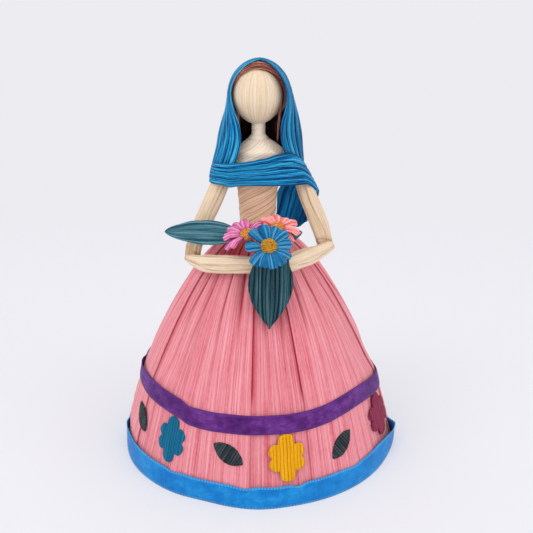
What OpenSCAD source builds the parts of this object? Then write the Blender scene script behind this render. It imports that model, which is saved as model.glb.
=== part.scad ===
// Corn-husk doll with a shawl, a bouquet and a bordered skirt.
// It faces -Y, right and left are its own, and the floor is z = 0.

/* [Husk] */
// Thickness of one husk
husk_t = 0.6; // [0.4:0.05:0.9]
// Space between husks that lie on each other
lay_gap = 0.15; // [0.1:0.05:0.3]

/* [Skirt] */
// Radius of the skirt at its foot
hem_r = 73; // [64:0.5:84]
// Height of the straight border at its foot
border_h = 45; // [41:0.5:55]
// Radius at the top of the border
border_r = 59.5; // [52:0.5:68]
// Height of the fold at the waist
waist_z = 114; // [104:0.5:126]
// Sag of the skirt between waist and border, smaller is rounder
bell = 0.634; // [0.5:0.01:0.9]
// Number of husks round the skirt, an even number
husk_count = 12; // [8:2:16]
// Lap of each husk over its neighbour, in degrees
husk_lap = 2.5; // [1.5:0.5:6]
// Depth of the soft fold down the middle of each husk
fold_depth = 1.2; // [0:0.1:2]
// Turn of the front husk about the upright axis
husk_turn = 9.5; // [-15:0.5:15]
// Length of the husk ends tied inside the waist
tuck_len = 9; // [6:0.5:14]

/* [Ribbons] */
// Width of the hem ribbon
hem_ribbon_w = 10.5; // [8:0.1:16]
// Space behind the top edge of the hem ribbon
hem_ribbon_lean = 1.2; // [0.3:0.1:2.5]
// Width of the purple ribbon
border_ribbon_w = 9.8; // [5:0.1:12]
// Thickness of both ribbons
ribbon_t = 0.4; // [0.3:0.05:0.8]

/* [Border flowers] */
// Number of flowers round the border, with a leaf after each
border_pairs = 7; // [4:1:8]
// Width of a border flower
border_flower_w = 18; // [10:0.5:20]
// Height of a border flower
border_flower_h = 22; // [18:0.5:23]
// Petals of a border flower
border_petals = 6; // [5:1:8]
// Length of a border leaf
border_leaf_l = 17; // [10:0.5:20]
// Width of a border leaf
border_leaf_w = 8.5; // [5:0.5:11]
// Turn of the yellow flower about the upright axis
border_turn = 12; // [-12:0.5:20]

/* [Body] */
// Width of the body at the waist
waist_w = 16.2; // [12:0.2:18]
// Depth of the body at the waist
waist_d = 14; // [10:0.2:16]
// Width across the shoulders
shoulder_w = 26; // [20:0.5:30]
// Depth at the chest
chest_d = 16; // [12:0.5:18]
// Height of the shoulders over the waist
shoulder_h = 38; // [32:0.5:46]
// Height of the neck foot over the shoulders
neck_rise = 11; // [8:0.5:14]
// Diameter of the spine stick
stick_d = 2.4; // [1.6:0.1:3.2]

/* [Head] */
// Diameter of the head ball
head_d = 23.4; // [20:0.2:27]
// Length of the neck that shows
neck_len = 6.4; // [5:0.2:9]
// Thickness of the hair at the sides
hair_t = 2.3; // [1.2:0.1:3]

/* [Arms] */
// Radial thickness of a forearm
arm_d = 6.4; // [5:0.2:7.6]
// Width of an upper arm
arm_w = 9; // [7:0.2:10.5]
// Height of a forearm
forearm_h = 9.6; // [7:0.2:11]
// Distance of the right elbow to the side
elbow_right = 32.5; // [29:0.5:36]
// Drop of the right elbow below the waist
elbow_drop_right = 7.5; // [5:0.5:10]
// Distance of the left elbow to the side
elbow_left = 33.5; // [30:0.5:38]
// Drop of the left elbow below the waist
elbow_drop_left = 4; // [2:0.5:8]
// Diameter of the wire in the arms
wire_d = 1.2; // [0.8:0.1:1.8]

/* [Shawl] */
// Half width of the shawl at the shoulders
shawl_half = 21.2; // [20:0.2:25]
// Depth of the pleats in the shawl
pleat_depth = 0.5; // [0:0.05:0.8]
// Height of the band across the chest
band_h = 12.5; // [9:0.5:15]
// Drop of the band's point on the left arm
band_point = 5; // [0:0.5:8]
// Drop of the hanging tail below the band
tail_drop = 25; // [12:0.5:32]

/* [Bouquet] */
// Sideways place of the bouquet
bouquet_x = 5.2; // [2:0.2:8]
// Radius of the blue flower
blue_r = 11.25; // [9:0.25:13]
// Radius of the magenta flower
magenta_r = 12.5; // [9:0.25:14]
// Radius of the coral flower
coral_r = 10; // [8:0.25:11]
// Radius of a flower's eye
eye_r = 4; // [2.5:0.25:5]
// Length of the leaf at the side
leaf_side_l = 36; // [24:0.5:40]
// Width of the leaf at the side
leaf_side_w = 12; // [6:0.5:14]
// Length of the leaf in front
leaf_front_l = 32; // [20:0.5:36]
// Width of the leaf in front
leaf_front_w = 22; // [12:0.5:26]
// Length of the small leaf at the back
leaf_back_l = 14; // [8:0.5:18]
// Width of the small leaf at the back
leaf_back_w = 6.4; // [4:0.2:9]

/* [Hidden] */
$fn = 48;
fit = lay_gap;
pitch = 360 / husk_count;
lay = husk_t + lay_gap;
// space between two faceted skins
skin_gap = 2 * lay_gap;

// waist, neck and head stack
leg_r = waist_w / 2 + fit;
fold_r = 1.4 + lay;
crest_r = leg_r + fold_r;
shoulder_z = waist_z + shoulder_h;
neck_z = shoulder_z + neck_rise;
stick_r = stick_d / 2;
sleeve_r = stick_r + fit + husk_t;
neck_tie_r = sleeve_r + fit + 0.5;
neck_r = neck_tie_r + fit + husk_t;
face_r = head_d / 2 + fit + husk_t;
head_z = neck_z + neck_len + face_r;
hair_r = face_r + fit + hair_t;
hair_z = head_z + 1.8;
crown_r = hair_r + fit + 0.5;

function husk_name(k) = str("skirt_husk_", k < 10 ? "0" : "", k);
function unit(v) = v / norm(v);
function mix(a, b, t) = a + (b - a) * t;
function ease(t) = let (c = min(max(t, 0), 1)) c * c * (3 - 2 * c);

// Closed thin solid over a grid of points f(i, j, w): w = 0 is its back face and w = 1 its front face.
// The first columns, as many as crossed says, are cut along their other diagonal.
module sheet(f, nu, nv, loop_u = false, loop_v = false, crossed = 0) {
  cu = loop_u ? nu : nu + 1;
  cv = loop_v ? nv : nv + 1;
  at = function (i, j, w) w * cu * cv + (i % cu) * cv + (j % cv);
  face = function (i, j, w) let (q = w == 1
      ? [at(i, j, 1), at(i, j + 1, 1), at(i + 1, j + 1, 1), at(i + 1, j, 1)]
      : [at(i, j, 0), at(i + 1, j, 0), at(i + 1, j + 1, 0), at(i, j + 1, 0)])
    i < crossed ? [q[1], q[2], q[3], q[0]] : q;
  quads = concat(
    [for (w = [1, 0], i = [0 : nu - 1], j = [0 : nv - 1]) face(i, j, w)],
    loop_u ? [] : [for (j = [0 : nv - 1]) [at(0, j + 1, 1), at(0, j, 1), at(0, j, 0), at(0, j + 1, 0)]],
    loop_u ? [] : [for (j = [0 : nv - 1]) [at(nu, j, 1), at(nu, j + 1, 1), at(nu, j + 1, 0), at(nu, j, 0)]],
    loop_v ? [] : [for (i = [0 : nu - 1]) [at(i, 0, 1), at(i + 1, 0, 1), at(i + 1, 0, 0), at(i, 0, 0)]],
    loop_v ? [] : [for (i = [0 : nu - 1])
      [at(i + 1, nv, 1), at(i, nv, 1), at(i, nv, 0), at(i + 1, nv, 0)]]);
  polyhedron(
    points = [for (w = [0, 1], i = [0 : cu - 1], j = [0 : cv - 1]) f(i, j, w)],
    faces = [for (q = quads, t = [[q[0], q[1], q[2]], [q[0], q[2], q[3]]]) t],
    convexity = 8);
}

// Ring of the given inner radius, outer radius and height.
module ring(r_in, r_out, h) {
  rotate_extrude($fn = 72) translate([r_in, 0]) square([r_out - r_in, h]);
}

// Round rod between two points.
module rod(p, q, r) {
  d = q - p;
  translate(p) rotate([0, acos(d.z / norm(d)), atan2(d.y, d.x)]) cylinder(r = r, h = norm(d), $fn = 24);
}

// Point at radius r and height z, turned by angle a from the front towards the left hand.
function turned(r, a, z) = [r * sin(a), -r * cos(a), z];

// Outer radius of the skirt at height z.
function skirt_r(z) = z < border_h
  ? mix(hem_r, border_r, z / border_h)
  : crest_r + (border_r - crest_r) * pow(max(waist_z - z, 0) / (waist_z - border_h), bell);

// Profile of one husk from the hem over the waist fold to its tied end.
hem_lift = 0.4;
bell_rows = 7;
husk_rows = concat(
  [for (z = [hem_lift, border_h / 2, border_h]) [skirt_r(z), z]],
  [for (k = [1 : bell_rows]) let (z = mix(border_h, waist_z, 1 - pow(1 - k / bell_rows, 1.7)))
    [skirt_r(z), z]],
  [for (a = [45, 90]) [crest_r - fold_r * sin(a), waist_z - fold_r * (1 - cos(a))]],
  [[leg_r, waist_z - fold_r - tuck_len / 2], [leg_r, waist_z - fold_r - tuck_len]]);
function row_normal(j) = let (last = len(husk_rows) - 1,
    d = husk_rows[min(j + 1, last)] - husk_rows[max(j - 1, 0)]) unit([d.y, -d.x]);

module skirt_husk(k) {
  over = k % 2 == 0;
  mid = husk_turn + (k - 1) * pitch;
  half = pitch / 2 + husk_lap;
  free = pitch / 2 - husk_lap;
  steps = 7;
  color([0.95, 0.55, 0.62]) sheet(function (i, j, w)
    let (a = i == 0 ? -half : i == steps ? half : mix(-free, free, (i - 1) / (steps - 2)),
         p = husk_rows[j], n = row_normal(j),
         reach = ease((p.y - border_h) / 14) * ease((p.x - crest_r) / 12),
         swell = fold_depth * reach * pow(cos(90 * min(abs(a) / free, 1)), 2),
         off = (over ? swell : -lay - swell) - (1 - w) * husk_t)
    turned(p.x + n.x * off, mid + a, p.y + n.y * off), steps, len(husk_rows) - 1);
}

module waist_tie() {
  r = leg_r + 2 * lay + fit;
  color([0.75, 0.68, 0.52]) translate([0, 0, waist_z - fold_r - tuck_len + 1.5]) ring(r, r + 0.8, 4);
}

// Cone that the border pieces lie on: radius at height z, with an offset square to its face.
cone_lean = atan((hem_r - border_r) / border_h);
function cone_pt(z, off) = [skirt_r(z) + off * cos(cone_lean), z + off * sin(cone_lean)];

hem_top = hem_ribbon_w;
border_ribbon_top = border_h - 2;
border_ribbon_foot = border_ribbon_top - border_ribbon_w * cos(cone_lean);

module border_ribbon() {
  color([0.40, 0.16, 0.56]) rotate_extrude($fn = 120) polygon([
    cone_pt(border_ribbon_foot, fit), cone_pt(border_ribbon_foot, fit + ribbon_t),
    cone_pt(border_ribbon_top, fit + ribbon_t), cone_pt(border_ribbon_top, fit)]);
}

module hem_ribbon() {
  foot_r = hem_r + fit;
  top_r = skirt_r(hem_top) + hem_ribbon_lean;
  color([0.12, 0.52, 0.85]) rotate_extrude($fn = 120) polygon([
    [foot_r, 0], [foot_r + ribbon_t, 0], [top_r + ribbon_t, hem_top], [top_r, hem_top]]);
}

// Border pieces are cut from a thin cone over the husks by an outline that points outwards.
border_mid = (hem_top + border_ribbon_foot) / 2;
border_step = 360 / (2 * border_pairs);
module on_border(a) {
  low = border_mid - 14;
  top = border_mid + 14;
  intersection() {
    rotate_extrude($fn = 120) polygon([
      cone_pt(low, fit), cone_pt(low, fit + husk_t), cone_pt(top, fit + husk_t), cone_pt(top, fit)]);
    rotate([0, 0, a]) translate([0, -skirt_r(border_mid) / 2, border_mid]) rotate([90, 0, 0])
      linear_extrude(hem_r) children();
  }
}

module flower_outline() {
  petal_r = border_flower_w * 0.235;
  for (k = [0 : border_petals - 1]) rotate(90 + k * 360 / border_petals)
    translate([(k % 3 == 0 ? border_flower_h : border_flower_w) / 2 - petal_r, 0]) circle(petal_r);
  circle(border_flower_w * 0.28);
}

// Pointed leaf where two arcs cross.
module leaf_outline(l, w) {
  r = (l * l + w * w) / (4 * w);
  intersection() {
    translate([0, r - w / 2]) circle(r, $fn = 90);
    translate([0, w / 2 - r]) circle(r, $fn = 90);
  }
}

border_tints = [[0.90, 0.70, 0.10], [0.52, 0.14, 0.30], [0.05, 0.45, 0.58]];
flower_order = [0, 1, 2, 0, 1, 0, 2];
leaf_turns = [36, -35, -60, 40, -50, -52, -29];
// the pieces are glued by hand, a few degrees off even spacing
flower_shift = [0, 6.4, 4, 1, -1.5, -6, 0];
leaf_shift = [0, 8.5, 3, 0, -4, 2, 1.7];
module border_flower(k) {
  color(border_tints[flower_order[(k - 1) % 7]])
    on_border(border_turn + (k - 1) * 2 * border_step + flower_shift[(k - 1) % 7]) flower_outline();
}
module border_leaf(k) {
  color([0.18, 0.24, 0.26]) on_border(border_turn + (2 * k - 1) * border_step + leaf_shift[(k - 1) % 7])
    rotate(leaf_turns[(k - 1) % 7]) leaf_outline(border_leaf_l, border_leaf_w);
}

// Body: half width and half depth at height z.
body_foot = waist_z - fold_r - tuck_len;
wide_at = [[body_foot, waist_w / 2], [waist_z - 1, waist_w / 2], [waist_z + 10, waist_w / 2],
  [waist_z + shoulder_h * 0.55, waist_w / 2 + 0.8], [shoulder_z - 7, shoulder_w / 2 - 2],
  [shoulder_z - 1, shoulder_w / 2], [shoulder_z + 3, shoulder_w / 2 - 1.5],
  [mix(shoulder_z, neck_z, 0.6), shoulder_w / 3.4], [neck_z, neck_r]];
deep_at = [[body_foot, waist_w / 2], [waist_z - 1, waist_w / 2], [waist_z + 10, waist_d / 2],
  [waist_z + shoulder_h * 0.55, chest_d / 2 - 0.6], [shoulder_z - 7, chest_d / 2],
  [shoulder_z - 1, chest_d / 2], [shoulder_z + 3, chest_d / 2 - 0.8],
  [mix(shoulder_z, neck_z, 0.6), chest_d / 3], [neck_z, neck_r]];
function body_pt(a, z, off) =
  [(lookup(z, wide_at) + off) * sin(a), -(lookup(z, deep_at) + off) * cos(a), z];

// The wire runs through the body behind the stick.
wire_r = wire_d / 2;
wire_y = stick_r + fit + wire_r + 1;

module torso_roll() {
  sides = 24;
  color([0.88, 0.80, 0.64]) difference() {
    sheet(function (i, j, w) let (a = 360 * i / sides, z = wide_at[j][0])
      w == 0 ? turned((stick_r + fit) / cos(180 / sides), a, z) : body_pt(a, z, 0),
      sides, len(wide_at) - 1, loop_u = true);
    translate([-shoulder_w, wire_y, shoulder_z]) rotate([0, 90, 0])
      cylinder(r = wire_r + fit, h = 2 * shoulder_w, $fn = 24);
  }
}

// Strap over one shoulder and across the chest, on the given layer.
strap_foot = shoulder_z - 12;
module bodice_strap(side, layer) {
  rows = concat([strap_foot],
    [for (r = wide_at) if (r[0] > strap_foot + 1 && r[0] < neck_z - 1) r[0]], [neck_z - 1.2]);
  steps = 8;
  color([0.93, 0.86, 0.72]) sheet(function (i, j, w)
    let (z = rows[j], t = (z - strap_foot) / (neck_z - strap_foot),
         a = side * mix(-26, 40, t) + mix(-52, 52, i / steps))
    body_pt(a, z, skin_gap + 0.1 + layer * (husk_t + skin_gap) + w * husk_t), steps, len(rows) - 1);
}
module bodice_strap_right() bodice_strap(-1, 1);
module bodice_strap_left() bodice_strap(1, 0);

module waist_wrap() {
  foot = waist_z + fit;
  top = strap_foot - fit;
  rows = concat([foot], [for (r = wide_at) if (r[0] > foot + 1 && r[0] < top - 1) r[0]], [top]);
  sides = 24;
  color([0.93, 0.82, 0.72]) sheet(function (i, j, w)
    body_pt(360 * i / sides, rows[j], skin_gap + w * husk_t), sides, len(rows) - 1, loop_u = true);
}

module spine_stick() {
  color([0.72, 0.55, 0.34]) translate([0, 0, body_foot - 6])
    cylinder(d = stick_d, h = head_z + 3 - body_foot + 6);
}

module head_ball() {
  color([0.94, 0.93, 0.90]) translate([0, 0, head_z]) difference() {
    sphere(d = head_d);
    translate([0, 0, -head_d]) cylinder(r = stick_r + fit, h = head_d + 3 + fit);
  }
}

module face_husk() {
  color([0.94, 0.87, 0.74]) rotate_extrude($fn = 72) difference() {
    union() {
      translate([0, head_z]) circle(face_r, $fn = 72);
      translate([0, neck_z + fit]) square([sleeve_r, neck_len + 4]);
    }
    translate([0, head_z]) circle(head_d / 2 + fit, $fn = 72);
    translate([-2 * head_d, 0]) square([2 * head_d, 2 * head_z]);
    square([stick_r + fit, head_z]);
  }
}

module neck_tie() {
  color([0.75, 0.68, 0.52]) translate([0, 0, neck_z + neck_len * 0.45])
    ring(sleeve_r + fit, neck_tie_r, 2.4);
}

module neck_wrap() {
  color([0.94, 0.87, 0.74]) translate([0, 0, neck_z + fit])
    ring(neck_tie_r + fit, neck_r, neck_len - 2 * fit);
}

// Hair over the back and top of the head: a square grid laid on a round cap, short at the nape.
module hair_cap() {
  steps = 12;
  lift = hair_z - head_z;
  back = [0, cos(18), sin(18)];
  up = [0, -sin(18), cos(18)];
  color([0.45, 0.24, 0.16]) sheet(function (i, j, w)
    let (u = 1 - 2 * i / steps, v = 2 * j / steps - 1,
         x = u * sqrt(1 - v * v / 2), y = v * sqrt(1 - u * u / 2),
         n = max(norm([x, y]), 0.001),
         polar = n * mix(96, 58, ease(-y / n)),
         d = back * cos(polar) + ([x, 0, 0] + up * y) / n * sin(polar),
         far = lift * d.z + sqrt(pow(lift * d.z, 2) + hair_r * hair_r - lift * lift))
    [0, 0, head_z] + d * (w == 0 ? face_r + skin_gap : far), steps, steps);
}

module hair_fall() {
  steps = 14;
  foot = neck_z - 3.2;
  top = head_z - face_r * 0.82 - fit - 0.3;
  color([0.16, 0.09, 0.07]) sheet(function (i, j, w)
    let (a = mix(84, 276, i / steps), t = j / 3)
    turned(mix(mix(9.2, 7.1, t), mix(11.2, 9, t), w), a, mix(foot, top, t)), steps, 3);
}

// Arms: centre line with half width and half depth at each point.
hand_z = waist_z - 7;
forearm_r = skirt_r(hand_z - forearm_h * 0.55) + 2 * fit + fold_depth + arm_d / 2;
hand_y = -forearm_r - 1.6;
arm_start = shoulder_w / 2 + skin_gap;
// both arms sit a little to the left under the shawl
arm_shift = 2.4;
function arm_line(side, elbow, drop, hand_end) = let (
    elbow_z = waist_z - drop,
    e = [side * elbow, -elbow * 0.42, elbow_z],
    s = [side * (arm_start + 4.4) + arm_shift, wire_y - 3.5, shoulder_z - 4.5],
    h = [hand_end, hand_y, hand_z],
    c = [e.x * 0.62, -sqrt(max(pow(forearm_r + 0.6, 2) - pow(e.x * 0.62, 2), 1)),
         mix(elbow_z, hand_z, 0.4) - 0.6]) [
  [side * arm_start, wire_y, shoulder_z], [side * (arm_start + 2.4), wire_y - 0.2, shoulder_z - 0.3], s,
  mix(s, e, 0.3), mix(s, e, 0.62), mix(s, e, 0.88), e + [0, -1.4, 0.2],
  mix(e, c, 0.42) + [0, -1.2, -0.5], c, mix(c, h, 0.5) + [0, -0.8, 0], h];
arm_half = [[2.8, 2.6], [3.2, 3], [arm_w * 0.4, arm_d * 0.5], [arm_w * 0.48, arm_d * 0.5],
  [arm_w * 0.52, arm_d * 0.48], [arm_w * 0.5, arm_d * 0.42], [arm_w * 0.5, arm_d * 0.42],
  [forearm_h * 0.5, arm_d * 0.46], [forearm_h * 0.52, arm_d * 0.46], [forearm_h * 0.5, arm_d * 0.46],
  [forearm_h * 0.42, arm_d * 0.42]];
arm_face = [0, 0, 0, 0, 0, 0.15, 0.45, 0.7, 0.75, 0.6, 0.4];

// Frame of an arm at point i: along, across and facing out.
function arm_frame(line, side, i) = let (
    n = len(line), t = unit(line[min(i + 1, n - 1)] - line[max(i - 1, 0)]),
    o = [side * arm_face[i], -1, 0], f = unit(o - t * (o * t))) [cross(t, f), f];

module arm(line, side) {
  sides = 12;
  hole = (wire_r + fit) / cos(180 / sides);
  color([0.92, 0.84, 0.68]) sheet(function (i, j, w)
    let (f = arm_frame(line, side, i), a = 360 * j / sides, h = arm_half[i])
    line[i] + f[0] * cos(a) * (w == 0 ? hole : h[0]) + f[1] * sin(a) * (w == 0 ? hole : h[1]),
    len(line) - 1, sides, loop_v = true);
}
right_end = bouquet_x - 3.6;
left_end = bouquet_x + 3.6;
right_line = arm_line(-1, elbow_right, elbow_drop_right, right_end);
left_line = arm_line(1, elbow_left, elbow_drop_left, left_end);
module right_arm() arm(right_line, -1);
module left_arm() arm(left_line, 1);

// One wire from hand to hand, with a short cap past the last point of each arm left bare.
module arm_wire() {
  sides = 8;
  n = len(right_line);
  centre = concat([for (i = [n - 1 : -1 : 0]) right_line[i]], left_line);
  frames = concat([for (i = [n - 1 : -1 : 0]) arm_frame(right_line, -1, i)],
    [for (i = [0 : n - 1]) arm_frame(left_line, 1, i)]);
  sign_at = function (i) i < n ? -1 : 1;
  pts = [for (i = [0 : 2 * n - 1], j = [0 : sides - 1]) let (a = 360 * j / sides, f = frames[i])
    centre[i] + sign_at(i) * f[0] * cos(a) * wire_r + f[1] * sin(a) * wire_r];
  m = 2 * n;
  color([0.6, 0.6, 0.6]) polyhedron(
    points = concat(pts, [centre[0], centre[m - 1]]),
    faces = concat(
      [for (i = [0 : m - 2], j = [0 : sides - 1]) let (k = (j + 1) % sides)
        [i * sides + j, i * sides + k, (i + 1) * sides + k]],
      [for (i = [0 : m - 2], j = [0 : sides - 1]) let (k = (j + 1) % sides)
        [i * sides + j, (i + 1) * sides + k, (i + 1) * sides + j]],
      [for (j = [0 : sides - 1]) [m * sides, (j + 1) % sides, j]],
      [for (j = [0 : sides - 1]) [m * sides + 1, (m - 1) * sides + j, (m - 1) * sides + (j + 1) % sides]]));
}

// Edges of the band across the chest. Its top rises at the left front, where the hood meets it.
band_foot = shoulder_z - 12.6;
band_top = band_foot + band_h - 2.2;
function band_rise(a) = 3.6 * (ease(1 - abs(a - 25) / 60) + ease(1 - abs(a - 385) / 60));

// Shawl over the head. Its rings run from the crown to the shoulders, and each one is given as
// height, half width, front depth, back depth and the angle left open at the front.
function dome_ring(polar, open) = let (r = crown_r * sin(polar))
  [hair_z + crown_r * cos(polar), r, r, r, open];
hood_rings = [dome_ring(0, 0), dome_ring(21, 0), dome_ring(40, 44), dome_ring(58, 56), dome_ring(74, 64),
  [hair_z - 1, crown_r + 0.5, crown_r, crown_r + 0.2, 66],
  [head_z - 6, crown_r + 1.4, crown_r - 2, crown_r - 0.2, 46],
  [head_z - 11.5, crown_r + 2.8, chest_d / 2 + 3.4, crown_r - 0.6, 34],
  [neck_z + 1, shawl_half - 1.4, chest_d / 2 + 3, crown_r - 1.5, 28],
  [shoulder_z + 5.5, shawl_half - 0.6, chest_d / 2 + 3.2, chest_d / 2 + 5, 29],
  [band_top + 0.5, shawl_half, chest_d / 2 + 3.6, chest_d / 2 + 4.6, 32]];
shawl_x = 1.2;
module shawl_hood() {
  last = len(hood_rings) - 1;
  color([0.08, 0.50, 0.76]) sheet(function (i, j, w)
    let (s = i - last, t = j - 1, m = max(abs(s), abs(t)), r = hood_rings[m],
         side = s < 0 ? -1 : 1,
         raw = m == 0 ? 0 : t == m ? 45 * abs(s) / m : t == -m ? 180 - 45 * abs(s) / m : 90 - 45 * t / m,
         spread = m < 2 ? 1 : (180 - r[4]) / (90 + 45 / m),
         a = 180 - side * raw * spread,
         wave = pleat_depth * ease(m / 6) * ((t == m ? i + 1 : j) % 2),
         off = fit + wave + w * husk_t,
         tilt = m < 5 ? r[1] / crown_r : 1,
         up = m == last ? band_rise(a) : 0)
    [shawl_x * ease((m - 3) / 4) + (r[1] + off * tilt) * sin(a),
     -((cos(a) > 0 ? r[2] : r[3]) + off * tilt) * cos(a),
     r[0] + off * sqrt(1 - tilt * tilt) + up], 2 * last, last + 1, crossed = last);
}

// Band across the chest, round both arms and the back.
// Its edges lie on the arms, and its left side slopes in with the shoulder.
function arm_edge(line, side, t) = mix(line[2].x, line[5].x, t) + side * (arm_w / 2 + skin_gap);
band_low = arm_edge(right_line, -1, 0.27);
band_high = arm_edge(left_line, 1, 0.42);
band_x = (band_high + band_low) / 2;
band_wide = (band_high - band_low) / 2;
band_slope = 6.5;
band_front = chest_d / 2 + 3 * lay + 1.4;
band_back = chest_d / 2 + 4.6;
function squared(v) = sign(v) * pow(abs(v), 0.8);
function band_pt(a, off, z) = [
  band_x + (band_wide + off) * squared(sin(a))
    - band_slope * max(sin(a), 0) * max(z - band_foot, 0) / band_h,
  -((cos(a) > 0 ? band_front : band_back) + off) * squared(cos(a)), z];
module shawl_band() {
  steps = 32;
  rows = 4;
  color([0.07, 0.44, 0.70]) sheet(function (i, j, w)
    let (a = 360 * i / steps,
         dip = band_point * ease(1 - abs(a - 92) / 45),
         off = pleat_depth * (j % 2) + w * husk_t)
    band_pt(a, off, mix(band_foot - dip, band_top + band_rise(a), j / rows)), steps, rows, loop_u = true);
}

module shawl_tail() {
  steps = 8;
  rows = 6;
  top = band_top - 2;
  low = band_foot - tail_drop;
  color([0.05, 0.24, 0.48]) sheet(function (i, j, w)
    let (s = i / steps, a = mix(122, 168, s), t = j / rows,
         foot = low + 6 * ease(s * 1.2),
         off = husk_t + pleat_depth + fit + pleat_depth * (i % 2) + w * husk_t)
    band_pt(a, off, mix(foot, top, t)), steps, rows);
}

// Rosette of strip petals facing +Z, left open between two angles where the next flower lies on it.
petal_t = 0.6;
module rosette(r, petals, w, cup, from, to) {
  root = eye_r - 1;
  l = r - root - w / 2;
  difference() {
    union() {
      cylinder(r = eye_r + 0.4, h = petal_t);
      for (k = [0 : petals - 1]) rotate(mix(from, to, (k + 0.5) / petals)) translate([root, 0, 0])
        rotate([0, k % 2 == 0 ? -cup : -cup * 0.55, 0]) linear_extrude(petal_t) {
          polygon([[0, -w * 0.3], [0, w * 0.3], [l, w / 2], [l, -w / 2]]);
          translate([l, 0]) circle(w / 2, $fn = 24);
        }
    }
    translate([0, 0, petal_t]) cylinder(r = eye_r + fit, h = r);
  }
}
module eye() {
  translate([0, 0, petal_t + fit]) intersection() {
    cylinder(r = eye_r, h = 2.4);
    translate([0, 0, 2.4 - 2 * eye_r]) sphere(r = 2 * eye_r);
  }
}

// Places a flower at p so that it faces along d.
module facing(p, d) {
  translate(p) rotate([0, acos(d.z / norm(d)), atan2(d.y, d.x)]) children();
}
hand = [bouquet_x, hand_y, hand_z];
blue_at = hand + [0, -9, 11];
blue_dir = [0.02, -0.79, 0.61];
magenta_at = hand + [-10, 1.2, 13.8];
magenta_dir = [-0.25, -0.42, 0.87];
coral_at = hand + [4.3, 1.8, 16.8];
coral_dir = [0.15, -0.5, 0.85];

module blue_flower() color([0.10, 0.55, 0.85]) facing(blue_at, blue_dir)
  rosette(blue_r, 11, 6.4, 16, 0, 360);
module blue_eye() color([0.80, 0.62, 0.12]) facing(blue_at, blue_dir) eye();
module magenta_flower() color([0.80, 0.10, 0.45]) facing(magenta_at, magenta_dir)
  rosette(magenta_r, 8, 5.6, 14, 155, 360);
module magenta_eye() color([0.88, 0.52, 0.10]) facing(magenta_at, magenta_dir) eye();
module coral_flower() color([0.95, 0.40, 0.36]) facing(coral_at, coral_dir)
  rosette(coral_r, 8, 5.2, 14, 0, 220);
module coral_eye() color([0.88, 0.52, 0.10]) facing(coral_at, coral_dir) eye();

// Thin leaf from base to tip, with its width along across and a fold down its middle.
module leaf(base, tip, across, w, bow, belly = 0.85) {
  steps = 10;
  cols = 4;
  along = tip - base;
  side = unit(across);
  out = unit(cross(along, side));
  color([0.13, 0.32, 0.36]) sheet(function (i, j, d)
    let (s = i / steps, t = j / cols - 0.5,
         half = w * max(pow(max(sin(180 * pow(s, belly)), 0), 0.8), 0.06),
         rise = bow * sin(180 * s) - abs(t) * w * 0.08)
    base + along * s + side * half * t + out * (rise + d * husk_t), steps, cols);
}
side_base = hand + [-14.1, 8.4, 12.2];
front_base = hand + [0.4, -5.2, 4];
back_base = hand + [5, 5, 11.5];
module leaf_side() {
  tip = side_base + leaf_side_l * unit([-1, 0.14, 0]);
  leaf(side_base, tip, [0, 0, 1], leaf_side_w, 0.8);
}
module leaf_front() {
  tip_z = front_base.z - leaf_front_l;
  leaf(front_base, [front_base.x, -skirt_r(tip_z) - 1.4, tip_z], [1, 0, 0], leaf_front_w, 0, 0.62);
}
module leaf_back() {
  tip = back_base + leaf_back_l * unit([1, 0.04, 0.09]);
  leaf(back_base, tip, [0, 0, 1], leaf_back_w, 0.4);
}

stem_r = 2;
module bouquet_stems() {
  fork = hand + [0, 0, 3];
  color([0.30, 0.42, 0.24]) {
    translate([hand.x, hand.y, hand.z - 4.5]) cylinder(r = stem_r, h = 8);
    for (f = [[blue_at, blue_dir], [magenta_at, magenta_dir], [coral_at, coral_dir]])
      rod(fork, f[0] - unit(f[1]) * 0.75, 0.9);
    for (b = [side_base, front_base, back_base]) rod(fork, b - unit(b - fork) * 0.8, 0.6);
  }
}
module stem_tie() {
  color([0.75, 0.68, 0.52]) translate([hand.x, hand.y, hand.z - 1.4])
    ring(stem_r + fit, stem_r + fit + 0.5, 2.8);
}

spine_stick();
head_ball();
face_husk();
neck_tie();
neck_wrap();
hair_cap();
hair_fall();
torso_roll();
bodice_strap_right();
bodice_strap_left();
waist_wrap();
arm_wire();
right_arm();
left_arm();
waist_tie();
border_ribbon();
hem_ribbon();
shawl_hood();
shawl_band();
shawl_tail();
blue_flower();
blue_eye();
magenta_flower();
magenta_eye();
coral_flower();
coral_eye();
leaf_side();
leaf_front();
leaf_back();
bouquet_stems();
stem_tie();
for (k = [1 : husk_count]) skirt_husk(k);
for (k = [1 : border_pairs]) border_flower(k);
for (k = [1 : border_pairs]) border_leaf(k);
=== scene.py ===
import math
import bpy
import bmesh
from math import sin, cos, pi, exp, radians, degrees
from mathutils import Matrix, Vector, noise


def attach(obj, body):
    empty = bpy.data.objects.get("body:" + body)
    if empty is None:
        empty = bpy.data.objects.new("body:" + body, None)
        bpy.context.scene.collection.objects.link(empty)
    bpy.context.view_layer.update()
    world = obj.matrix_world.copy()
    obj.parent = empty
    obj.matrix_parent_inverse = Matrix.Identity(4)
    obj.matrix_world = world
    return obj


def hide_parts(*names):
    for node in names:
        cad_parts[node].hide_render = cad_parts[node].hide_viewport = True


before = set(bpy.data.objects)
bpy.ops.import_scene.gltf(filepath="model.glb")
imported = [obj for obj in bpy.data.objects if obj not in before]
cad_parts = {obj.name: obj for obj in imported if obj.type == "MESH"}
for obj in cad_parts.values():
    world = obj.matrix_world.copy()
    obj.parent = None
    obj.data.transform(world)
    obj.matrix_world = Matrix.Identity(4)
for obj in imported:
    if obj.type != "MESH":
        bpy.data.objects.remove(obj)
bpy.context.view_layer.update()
scene = bpy.context.scene
mm = 0.001  # sizes below are in millimetres, apart from the stage
print("frame loaded with", len(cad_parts), "nodes")


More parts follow.
